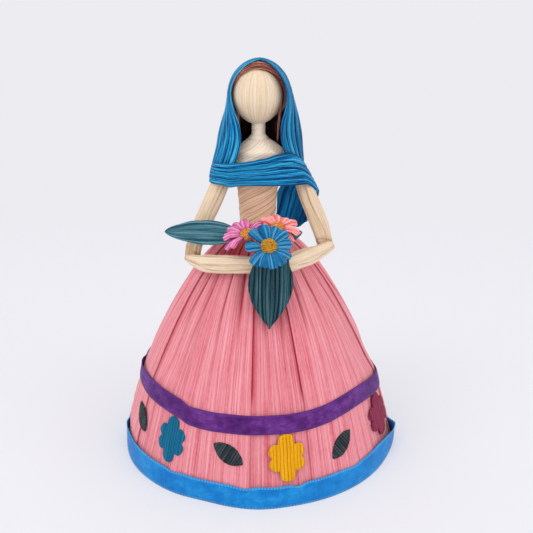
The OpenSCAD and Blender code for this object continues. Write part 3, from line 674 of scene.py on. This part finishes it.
def archStrand(k):
    u = (k + 0.5) / hair["strands"]
    start = mix(-148, -60, 0.5 + 0.5 * wob(k * 1.37, 0.4))
    end = mix(60, 148, 0.5 + 0.5 * wob(k * 2.11, 5.0))
    points = []
    for j in range(11):
        side = radians(mix(start, end, j / 10))
        beta = radians(hairFront(side) + u * 30 + 5 * wob(k * 0.9, j * 0.3, 2.0))
        far = hairThin(side) * (0.5 + 0.5 * ease(u * 4)) + 0.07 * wob(k * 1.7, j * 0.5)
        points.append(hairPoint(side, beta, far))
    return strand(points, hair["strandR"], k * 1.9)


def looseStrand(k):  # falls from the cap beside the neck
    side = 1 if k % 3 else -1
    a = side * (58 + 7 * (k // 2) + 3 * wob(k * 2.3, 1.0))
    top, foot = hair["looseZ"]
    foot += 2.5 * wob(k * 1.9, 0.2)
    points = []
    for j in range(7):
        r = mix(11.6, 9.4, j / 6) + 0.4 * wob(k, j * 0.5)
        points.append(turned(r, a + 10 * (j / 6) * side, mix(top, foot, j / 6)) + Vector((hair["x"], 0, 0)))
    return strand(points, hair["looseR"], k * 3.1)


def fallPlace(s, t):
    r = mix(10.6, 9.4, t) + 0.45 * wob(s * 40, t * 1.5, 8.0)
    return turned(r, mix(80, 280, s), mix(158.5, 172.5, t)), (s * 34, t * 14), 0.3 + 0.3 * wob(s * 22, 0.3)


def fallStrand(k):
    a = mix(78, 282, (k + 0.5) / hair["fall"])
    foot, top = hair["fallZ"]
    foot += 1.2 * wob(k * 2.3)
    points = []
    for j in range(7):
        r = mix(9.0, 11.0, 1 - j / 6) + 0.5 * wob(k * 1.9, j * 0.4) - 0.6
        points.append(turned(r, a + 4 * wob(k * 0.8, j * 0.3, 3.0), mix(foot, top, j / 6)))
    return strand(points, hair["fallR"], k * 2.3)


hairCap = joined([patch(120, 90, hairPlace)] + [archStrand(k) for k in range(hair["strands"])]
                 + [looseStrand(k) for k in range(hair["loose"])])
piece("hair_cap", hairCap, "hair")
hairFall = joined([patch(90, 16, fallPlace)] + [fallStrand(k) for k in range(hair["fall"])])
piece("hair_fall", hairFall, "shadedHair")
print("hair done")

# arms: rolled husks folded at the elbows, on the line of the wire inside
arms = {"d": 6.4, "w": 9.0, "h": 9.6, "hand": (5.2, -33.14, 107.0), "reach": 31.54, "shift": 2.4,
        "start": 13.3, "wireY": 2.95, "folds": (4.85, 5.1, 5.3)}  # folds are counted along the upper arm
armLooks = {
    "right_arm": {"side": -1, "elbow": 32.5, "drop": 7.5, "grip": -3.6, "full": 0.42, "tan": 0.04,
                  "corner": Vector((-36.2, -15.0, 104.9)), "nip": (0.9, 0.5), "sag": (2.6, 1.7, 0.8, 0.4),
                  "seed": 1.3},
    "left_arm": {"side": 1, "elbow": 33.5, "drop": 4.0, "grip": 3.6, "full": 0.37, "tan": 0.18, "seed": 6.8,
                 "corner": Vector((37.6, -15.2, 111.6)), "nip": (1.8, 0.9), "sag": (0.8, 1.4, 1.4, 1.0)},
}


def armLine(side, elbow, drop, endX):
    x, y, z = arms["start"], arms["wireY"], body["shoulderZ"]
    elbowZ = skirt["waistZ"] - drop
    # shoulder, elbow, hand and the middle of the forearm
    s = Vector((side * (x + 4.4) + arms["shift"], y - 3.5, z - 4.5))
    e = Vector((side * elbow, -elbow * 0.42, elbowZ))
    h = Vector((endX, arms["hand"][1], arms["hand"][2]))
    cx = e.x * 0.62
    c = Vector((cx, -math.sqrt((arms["reach"] + 0.6) ** 2 - cx * cx), mix(elbowZ, h.z, 0.4) - 0.6))
    upper = [Vector((side * x, y, z)), Vector((side * (x + 2.4), y - 0.2, z - 0.3)), s]
    upper += [s.lerp(e, share) for share in (0.3, 0.62, 0.88)]
    fore = [e.lerp(c, 0.42) + Vector((0, -1.2, -0.5)), c, c.lerp(h, 0.5) + Vector((0, -0.8, 0)), h]
    return upper, fore


# one rolled length of husk: closed at both ends, flattened, with creases along it in painted shade
def husked(line, half, face, side, seed, folds=(), tan=0.0):
    last = len(line) - 1
    half = [Vector(v) for v in half]
    marks = [(k * 0.9 + 1.4 * wob(seed, k * 1.3), 0.07 + 0.05 * abs(wob(seed, k * 2.1))) for k in range(7)]

    def place(s, t):
        x = t * last
        along = (spline(line, min(x + 0.12, last)) - spline(line, max(x - 0.12, 0))).normalized()
        out = Vector((side * spline(face, x), -1, 0))
        out = (out - along * out.dot(along)).normalized()
        across = along.cross(out)
        a = 2 * pi * s
        ca, sa = cos(a), sin(a)
        cut = 0.0
        for mid, wide in marks:
            gap = (a - mid - 0.5 * wob(x * 0.6, mid, seed) + pi) % (2 * pi) - pi
            cut = max(cut, hill(gap, 0, wide))
        bend = 0.0
        for k in folds:
            part = ease(0.4 + 2.0 * wob(ca * 1.3, sa * 1.3, k * 5 + seed))
            bend = max(bend, part * hill(x, k + 0.25 * sin(a + k * 9 + seed), 0.05))
        if folds:
            h = spline(half, x)
            nip = 0.75 * ramp(x, last - 1.3, 1.3) + 0.4 * bend
        else:  # a forearm opens quickly from the elbow
            h = half[0].lerp(half[1], max(x, 0) ** 0.72) if x < 1 else spline(half, x)
            nip = 0.25 * ramp(x, 0.35, -0.35)
        dent = 0.06 * wob(ca * 1.6, sa * 1.6, x * 1.3 + seed)
        size = 0 if t in (0, 1) else 1 - 0.09 * cut - 0.05 * bend + dent
        square = 1 / max(abs(ca), abs(sa)) ** 0.25
        point = spline(line, x) + (across * ca * h.x + out * sa * h.y) * size * square
        # painted shade in the creases, in the elbow folds and at the elbow ends; tan deepens a whole upper
        # arm
        return point, (s * 24, t * 40), tan + 0.5 * cut * (0.4 + 0.6 * abs(sin(2.2 * x + seed))) + nip
    return patch(84, 90, place, weld=True, turn=True)


def arm(node, look):
    d, wide, tall = arms["d"], arms["w"], arms["h"]
    side, full = look["side"], look["full"]
    upper, fore = armLine(side, look["elbow"], look["drop"], arms["hand"][0] + look["grip"])
    upper.append(look["corner"] + Vector((-side * 4.0, -0.6, -1.6)))
    bow = (0, 0, -0.5, 0, 0.8, 0.8, 0)
    push = (0, 0, 0, 0, 0, -0.7, 0)
    upper = [p + Vector((side * x, y, 0)) for x, y, p in zip(bow, push, upper)]
    fore = [look["corner"]] + [p - Vector((0, 0, x)) for p, x in zip(fore, look["sag"])]
    upperHalf = [(2.6, 2.6), (3.0, 3.0), (wide * full, d * 0.5), (wide * (full + 0.1), d * 0.5),
                 (wide * 0.5, d * 0.46), (wide * 0.47, d * 0.42), (wide * 0.44, d * 0.34)]
    foreHalf = [look["nip"], (tall * 0.44, d * 0.4), (tall * 0.48, d * 0.45), (tall * 0.47, d * 0.46),
                (tall * 0.4, d * 0.42)]
    upperFace, foreFace = [0, 0, 0, 0, 0, 0.15, 0.45], [0.6, 0.7, 0.75, 0.6, 0.4]
    upperTube = husked(upper, upperHalf, upperFace, side, look["seed"], arms["folds"], look["tan"])
    foreTube = husked(fore, foreHalf, foreFace, side, look["seed"] + 2.7)
    piece(node, joined([upperTube, foreTube]), "arm")


for node, look in armLooks.items():
    arm(node, look)
print("arms done")

# shawl: one husk over the head, its band across the chest and its tail
shawl = {"crownR": 15.1, "thick": 0.5, "pleats": 8, "depth": 0.6, "x": 0.9, "dome": 0.36}
hoodRows = [182.9, 175.85, 170.35, 164.0, 157.5, 150.2, 145.4]
hoodRight = [15.3, 17.2, 18.5, 19.7, 20.3, 20.9, 20.6]
hoodLeft = [14.3, 15.5, 17.2, 18.9, 20.1, 22.0, 23.0]
hoodFront = [14.8, 13.2, 11.4, 11.0, 11.0, 11.0, 10.8]
hoodBack = [14.9, 15.2, 14.9, 14.0, 13.0, 12.4, 11.6]
openRight = [57, 41, 32, 29, 33, 44, 48]
openLeft = [68, 46, 33, 26, 27, 31, 33]


def hoodForm(side, u, t, off):  # u runs from 0 over the head to 1 at the bottom ends
    dome = shawl["dome"]
    opening = openRight if side > 0 else openLeft
    if u < dome:
        q = u / dome
        tip = radians(mix(13, 0, t))
        p0 = Vector((0, -sin(tip), cos(tip)))
        a = radians(mix(opening[0], 180, t))
        p1 = Vector((side * sin(a), -cos(a), -0.06)).normalized()
        angle = p0.angle(p1)
        d = (p0 * sin((1 - q) * angle) + p1 * sin(q * angle)) / sin(angle)
        peak = 0.35 * hill(q, 0, 0.2) - 0.35 * hill(q, 0.5, 0.2)
        return Vector((shawl["x"], 0, hair["z"])) + d.normalized() * (shawl["crownR"] + off + peak - 0.3)
    x = (u - dome) / (1 - dome) * 6
    z, wide = spline(hoodRows, x), spline(hoodRight if side > 0 else hoodLeft, x)
    a = mix(spline(opening, x), 180, t)
    ca, sa = cos(radians(a)), sin(radians(a))
    deep = spline(hoodFront if ca > 0 else hoodBack, x)
    rise = 3.4 * ramp(x, 4.4, 1.2) * (bump(a, 45, 34) if side > 0 else 0)
    return Vector((shawl["x"] + side * (wide + off) * sa, -(deep + off) * ca, z + rise))


def hoodPlace(s, t):
    side = 1 if s > 0.5 else -1
    u = abs(2 * s - 1)
    beat = shawl["pleats"] * t + 0.5 * wob(t * 6, u * 2.2, 3 * side) + 0.25 * u * side + 0.4
    valley = pleat(beat, 2 * side, 0.11)
    small = pleat(3.4 * beat + 0.3, 5 * side, 0.2)
    deep = shawl["depth"] * mix(0.3, 1.0, ramp(u, 0.15, 0.4))
    off = 0.25 + deep * (1 - 0.8 * valley - 0.22 * small) + shawl["thick"]
    point = hoodForm(side, u, t, off)
    turnOff = ramp(abs(u - shawl["dome"]), 0.24, -0.2)  # eased where the crown turns into the falls
    if turnOff > 0:
        near = [hoodForm(side, u + step, t, off) for step in (-0.1, -0.05, 0.05, 0.1)]
        point = point.lerp((point * 3 + near[0] + near[3] + 2 * (near[1] + near[2])) / 9, turnOff)
    shade = (0.9 * valley + 0.3 * small) * mix(0.5, 1, ease(u * 2)) + (0.24 if side > 0 else 0)
    return point, (t * 38 + 50 * (side + 1), u * 66), shade


band = {"foot": 139.4, "top": 149.7, "x": 2.83, "wide": 27.02, "front": 12.5, "back": 12.9, "h": 12.5,
        "point": 5.0, "depth": 0.5, "drop": 26.6, "rise": [(5.6, 38, 42), (0.3, -20, 30), (0.9, 12, 14)]}


def squared(v):
    return math.copysign(abs(v) ** 0.8, v)


def bandPoint(a, off, z):
    sa, ca = sin(radians(a)), cos(radians(a))
    lean = 7.5 * max(sa, 0) * max(z - 135.5, 0) / 14
    lean += min(sa, 0) * (0.7 + 2.6 * max(z - band["foot"], 0) / band["h"])
    deep = band["front"] if ca > 0 else band["back"]
    return Vector((band["x"] + (band["wide"] + off) * squared(sa) - lean, -(deep + off) * squared(ca), z))


def bandPlace(s, t):
    a = 360 * s - 210  # the seam lies under the tail
    fromTip = abs((a - 92 + 180) % 360 - 180)
    dip = 1.6 * band["point"] * ease(1 - fromTip / 40) + bump(a, -32, 8) - 0.9
    z = mix(band["foot"] - dip, band["top"] + 0.9 + hills(a, band["rise"]), t)
    ca, sa = cos(radians(a)), sin(radians(a))
    beat = 5 * t + 0.45 * sa + 0.6 * wob(ca * 1.6, sa * 1.6, t * 1.8)
    valley = pleat(beat, 4, 0.12)
    small = pleat(2.9 * beat + 0.4, 9, 0.18)
    roll = sin(pi * t) ** 0.5
    off = 0.15 + shawl["thick"] + 0.35 * roll
    off += band["depth"] * (1 - 0.8 * valley - 0.22 * small) * (0.4 + 0.6 * roll)
    # painted shade in the pleat valleys
    return bandPoint(a, off, z), (t * 15, s * 120), (0.95 * valley + 0.3 * small) * roll


def tailPlace(s, t):
    low = band["foot"] - band["drop"] + 1.6 * ease((1 - s) * 1.3 - 0.5) + 3.5 * ramp(s, 0.6, 0.4)
    z = mix(low, band["top"] - 2, t)
    a = mix(170 - 8 * ramp(z, 130, 10), mix(130, 120, ease(t * 2.2)), s)
    valley = pleat(6.5 * s - 1.6 * t + 0.3 * wob(s * 5, t * 2, 5.5), 7, 0.18)
    off = 1.3 + shawl["thick"] + 0.9 * (1 - valley) * ease(t * 9 + 0.4)
    off += 1.1 * sin(pi * t) + 0.8 * wob(s * 2.2, t * 2.6, 1.5) * ease((1 - t) * 3)  # hangs slack
    # painted shade in the pleat valleys
    return bandPoint(a, off, z), (s * 26 - 5 * t, t * 34), 0.85 * valley


hood = piece("shawl_hood", patch(180, 200, hoodPlace, weld=True), "blue", shawl["thick"])
shawlBand = piece("shawl_band", patch(240, 72, bandPlace, weld=True), "blue", shawl["thick"])
shawlTail = piece("shawl_tail", patch(96, 48, tailPlace, turn=True), "navy", shawl["thick"])
print("shawl done")

# bouquet: each rosette has its place from the hand, the way it faces, its petals and its eye
hand = Vector(arms["hand"])
bouquet = {
    "blue": {"paint": "sky", "eyePaint": "mustard", "at": (0, -9, 11), "dir": (0.02, -0.79, 0.61),
             "r": 11.2, "w": 4.7, "cup": 17, "trim": (0, 0), "eye": (4.0, 1.0),
             "turns": (8, 38, 62, 100, 131, 160, 193, 225, 270, 318, 343)},
    "magenta": {"at": (-10, 1.2, 13.8), "dir": (-0.25, -0.42, 0.87), "r": 11.8, "w": 3.9, "cup": 12,
                "trim": (186, 0.3), "eye": (3.5, 0.6),
                "turns": (160, 186, 214, 240, 262, 281, 303, 322, 347)},
    "coral": {"at": (4.3, 1.8, 16.8), "dir": (0.15, -0.5, 0.85), "r": 10.4, "w": 3.9, "cup": 14,
              "trim": (165, 0.26), "eye": (3.4, 0.55),
              "turns": (8, 29, 52, 80, 106, 134, 165, 196, 218)},
}
rosette = {"root": 1.6, "heart": 4.2, "wall": 0.4}


def facing(at, aim):
    turnZ, turnY = math.atan2(aim.y, aim.x), math.acos(aim.z / aim.length)
    return Matrix.Translation(at) @ Matrix.Rotation(turnZ, 4, "Z") @ Matrix.Rotation(turnY, 4, "Y")


def petal(look, k, frameAt, seed):
    own = wob(k * 2.17 + 0.3, seed), wob(k * 1.31 + 0.7, seed + 4.0), wob(k * 1.73 + 0.2, seed + 9.0)
    turn, root = look["turns"][k], rosette["root"]
    a = radians(turn)
    cup = math.tan(radians(look["cup"] * (1.1 if k % 2 == 0 else 0.5) + 14 * own[0]))
    w = look["w"] * (1 + 0.45 * own[1])
    trimAt, trim = look["trim"]
    r = look["r"] * (0.97 + 0.16 * own[2]) * (1 - trim * bump(turn, trimAt, 34))

    def place(s, t):
        q = 2 * s - 1
        ragged = 0.6 * wob(q * 5, k * 3.0, seed) + 0.5 * own[0] * q
        length = r - root - 0.5 * abs(q) ** 3 + ragged * t
        x = root + length * t
        y = q * w / 2 * (0.4 + 0.6 * ease(t / 0.65)) * (1 - 0.18 * ramp(t, 0.85, 0.15))
        cut = pleat(1.5 * q + 0.5 + 0.3 * own[0], seed + k, 0.16) * ease(t / 0.25) * (1 - 0.35 * t)
        z = 0.8 + 0.3 * (k % 2) + (x - root) * cup - 2.0 * ramp(t, 0.5, 0.5) ** 1.5
        z += 0.3 * cos(pi * q) - 0.75 * cut + 1.3 * own[1] * q * t + 0.5 * wob(k * 2.7, t * 2, seed) * t
        point = frameAt @ Vector((x * cos(a) - y * sin(a), x * sin(a) + y * cos(a), z))
        shade = 0.8 * ramp(t, 0.36, -0.3) + 0.75 * cut + 0.55 * ramp(abs(q), 0.7, 0.3) * (1 - 0.5 * t)
        return point, (q * w / 2 + k * 9, t * length), shade
    return patch(24, 18, place)


def baseDisc(frameAt):
    def place(s, t):
        a = 2 * pi * s
        r = rosette["heart"] * t
        z = 0.55 + 0.1 * wob(3 * cos(a), 3 * sin(a))
        # painted shade: the disc lies under the petals and the eye
        return frameAt @ Vector((r * cos(a), r * sin(a), z)), (t * 4, s * 20), 0.6
    return patch(32, 6, place, weld=True, turn=True)


def eyeDome(frameAt, look, seed):
    eyeR, tall = look["eye"]
    rim = 0.8  # share of the rows on the dome, the rest goes down its side

    def place(s, t):
        a = 2 * pi * s
        if t < rim:
            rho, z = eyeR * sin(t / rim * pi / 2), 0.9 + 2.2 * tall * cos(t / rim * pi / 2) ** 0.8
        else:
            rho, z = eyeR, 0.9 - 1.2 * (t - rim) / (1 - rim)
        x, y = rho * cos(a), rho * sin(a)
        nub = wob(x * 1.9 + seed, y * 1.9, z * 1.5)
        z += 0.42 * nub * (1 if t < 0.9 else 0.3) + 0.35 * hill(rho, 2.3, 0.6)
        point = frameAt @ Vector((x * (1 + 0.05 * nub), y * (1 + 0.05 * nub), z))
        # painted shade in the hollows between the eye's nubs
        return point, (x * 2, y * 0.7), 0.6 * ease(-2.2 * nub)
    return patch(56, 26, place, weld=True, turn=True)


for name, look in bouquet.items():
    seed = len(name)
    frameAt = facing(hand + Vector(look["at"]), Vector(look["dir"]))
    petals = [petal(look, k, frameAt, seed) for k in range(len(look["turns"]))]
    piece(name + "_flower", joined([baseDisc(frameAt)] + petals), look.get("paint", name), rosette["wall"])
    piece(name + "_eye", eyeDome(frameAt, look, seed), look.get("eyePaint", "orange"))

# bouquet leaves: base from the hand, half widths from the base to the tip, or a plain pointed form
leaves = {
    "leaf_side": {"at": (-14.1, 8.4, 12.2), "dir": (-1, 0.14, 0), "across": (0, 0, 1), "l": 36.6, "w": 12.4,
                  "bow": 0.8, "straight": 0.3, "curl": 0.5, "shade": 0.0, "seed": 2.0},
    "leaf_front": {"at": (1.3, -5.2, 4), "lean": -0.9, "across": (1, 0, 0), "l": 32.6, "w": 21.0,
                   "bow": 0.0, "straight": 0.85, "curl": -0.6, "shade": 0.57, "seed": 5.0,
                   "form": [0.78, 0.83, 0.95, 1.0, 1.0, 0.955, 0.85, 0.68, 0.48, 0.26, 0.0]},
    "leaf_back": {"at": (5, 5, 11.5), "dir": (1, 0.04, 0.24), "across": (0, 0, 1), "l": 11.4, "w": 6.4,
                  "bow": 0.4, "straight": 0.3, "curl": 0.2, "shade": 0.3, "seed": 9.0},
}


def leafForm(look, s):
    if "form" in look:
        return max(0, spline(look["form"], (len(look["form"]) - 1) * s))
    return max(sin(pi * s ** 0.8), 0) ** 0.6


def leafTip(look, base):
    if "dir" in look:
        return base + look["l"] * Vector(look["dir"]).normalized()
    tipZ = base.z - look["l"]  # hangs down to the skirt
    return Vector((base.x + look["lean"], -skirtR(tipZ) - 1.4, tipZ))


def leaf(node, look):
    base = hand + Vector(look["at"])
    along = leafTip(look, base) - base
    side = Vector(look["across"])
    out = along.cross(side).normalized()
    half, seed = look["w"] / 2, look["seed"]

    def place(s, t):
        q = 2 * t - 1
        form = leafForm(look, s)
        wide = half * max(form, 0.05) * (1 + 0.04 * wob(s * 7, math.copysign(1, q), seed))
        lane = q * mix(half, wide, look["straight"])
        vein = 1 - pleat(0.5 * lane + 0.6 * wob(s * 1.6, lane * 0.3, seed), seed, 0.14)
        rise = look["bow"] * sin(pi * s) - abs(q) * half * 0.08 + 0.22 * vein * form
        rise += look["curl"] * (q * q) * form + 0.25 * wob(s * 4, q * 1.5, seed + 3) * form
        point = base + along * s + side * wide * q + out * (rise + 0.6)
        return point, (lane, s * look["l"]), look["shade"] + 0.7 * (1 - vein) + 0.3 * hill(q, 0, 0.05)
    piece(node, patch(60, 72, place), "leaf", 0.5)


for node, look in leaves.items():
    leaf(node, look)
print("bouquet done")


# inner pieces keep their solids and get their own finish: streaks that stretch along an axis
def innerPaint(name, nodes, deep, base, stretch, rough, metal=0.0):
    mat, shader, w = newPaint(name)
    spot = w.node("Mapping", links={"Vector": w.node("TexCoord", out=3), "Scale": stretch})
    grain = w.node("TexNoise", links={"Vector": spot, "Scale": 1.0, "Detail": 4.0})
    tint = mixTint(w, grain, srgb(*deep), srgb(*base))
    normal = w.node("Bump", links={"Strength": 0.3, "Distance": 0.0003, "Height": grain})
    plug(w, shader, Base_Color=tint, Roughness=rough + 0.2 * (grain - 0.5), Normal=normal, Metallic=metal)
    for node in nodes:
        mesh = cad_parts[node].data
        mesh.materials.clear()
        mesh.materials.append(mat)


innerPaint("cottonThread", ["neck_tie", "waist_tie", "stem_tie"], (160, 138, 98), (214, 196, 158),
           (300, 300, 2600), 0.75)
innerPaint("stickWood", ["spine_stick"], (150, 110, 66), (204, 166, 112), (900, 900, 60), 0.6)
innerPaint("armWire", ["arm_wire"], (120, 120, 120), (190, 190, 190), (900, 900, 900), 0.4, 1.0)
innerPaint("craftBall", ["head_ball"], (220, 218, 210), (240, 238, 232), (700, 700, 700), 0.8)
innerPaint("rolledHusk", ["torso_roll"], (196, 160, 118), (236, 214, 184), (500, 500, 70), 0.65)
innerPaint("stemWrap", ["bouquet_stems"], (70, 92, 44), (110, 132, 74), (600, 600, 120), 0.7)
print("inner pieces done")

# stage, in metres: a pale round sweep, soft lamps and the camera
stage = {"radius": 1.5, "wall": 1.4, "cove": 0.6, "tint": (232, 232, 236), "far": (236, 236, 241),
         "fadeFrom": 0.12, "fadeTo": 0.6, "near": 0.4, "world": 1.12, "aim": (0, 0, 0.1), "lampSize": 0.8}
lamps = {"keyLamp": ((-0.8, -0.62, 0.9), 3.5), "fillLamp": ((0.9, -0.5, 0.6), 2.3)}  # place and power
view = {"place": (0, -0.372, 0.217), "tilt": 18.16, "lens": 50.79, "sensor": 36.0, "shift": 0.0169}


def floorPaint():
    mat, shader, w = newPaint("paleFloor")
    plug(w, shader, Base_Color=(*srgb(*stage["tint"]), 1), Roughness=0.9, Specular_IOR_Level=0.1)
    # past the doll's shadow the camera sees the plain backdrop colour
    far = w.node("VectorMath", {"operation": "LENGTH"}, {0: w.node("TexCoord", out=3)}, out=1)
    fade = {"Value": far, "From Min": stage["fadeFrom"], "From Max": stage["fadeTo"], "To Min": stage["near"]}
    ring = w.node("MapRange", {"interpolation_type": "SMOOTHSTEP"}, fade)
    seen = w.node("LightPath") + w.node("LightPath", out=3) + w.node("LightPath", out=6)
    glow = w.node("Emission", links={"Color": (*srgb(*stage["far"]), 1), "Strength": 1.0})
    matte = Wire(w.tree, shader.outputs[0])
    both = w.node("MixShader", links={0: ring * w.maths("MINIMUM", seen, 1.0), 1: matte, 2: glow})
    w.tree.links.new(both.socket, w.tree.nodes["Material Output"].inputs["Surface"])
    return mat


def sweepFloor():
    bm = bmesh.new()
    cove, inner = stage["cove"], stage["radius"] - stage["cove"]
    bends = [radians(a) for a in range(10, 91, 10)]
    profile = [(0.0, 0.0), (inner, 0.0)] + [(inner + cove * sin(a), cove - cove * cos(a)) for a in bends]
    profile.append((stage["radius"], stage["wall"]))
    verts = [bm.verts.new((x, 0, z)) for x, z in profile]
    edges = [bm.edges.new(pair) for pair in zip(verts, verts[1:])]
    bmesh.ops.spin(bm, geom=verts + edges, cent=(0, 0, 0), axis=(0, 0, 1), angle=2 * pi, steps=64,
                   use_merge=True)
    bmesh.ops.remove_doubles(bm, verts=bm.verts, dist=1e-5)
    bmesh.ops.recalc_face_normals(bm, faces=bm.faces)
    for f in bm.faces:
        f.smooth = True
    meshObject("sweepFloor", bm, floorPaint())


sweepFloor()
for name, (place, power) in lamps.items():
    data = bpy.data.lights.new(name, "AREA")
    data.shape, data.size, data.energy = "DISK", stage["lampSize"], power
    obj = added(name, data)
    obj.location = place
    obj.rotation_euler = (Vector(stage["aim"]) - Vector(place)).to_track_quat("-Z", "Y").to_euler()
world = bpy.data.worlds.new("softSky")
world.use_nodes = True
sky = world.node_tree.nodes["Background"]
sky.inputs["Color"].default_value = (1, 1, 1, 1)
sky.inputs["Strength"].default_value = stage["world"]
scene.world = world

camData = bpy.data.cameras.new("photoCamera")
camData.lens, camData.sensor_width, camData.shift_x = view["lens"], view["sensor"], view["shift"]
cam = added("photoCamera", camData)
cam.location = view["place"]
cam.rotation_euler = (radians(90 - view["tilt"]), 0, 0)
scene.camera = cam
scene.view_settings.view_transform = "Standard"
print("stage done")
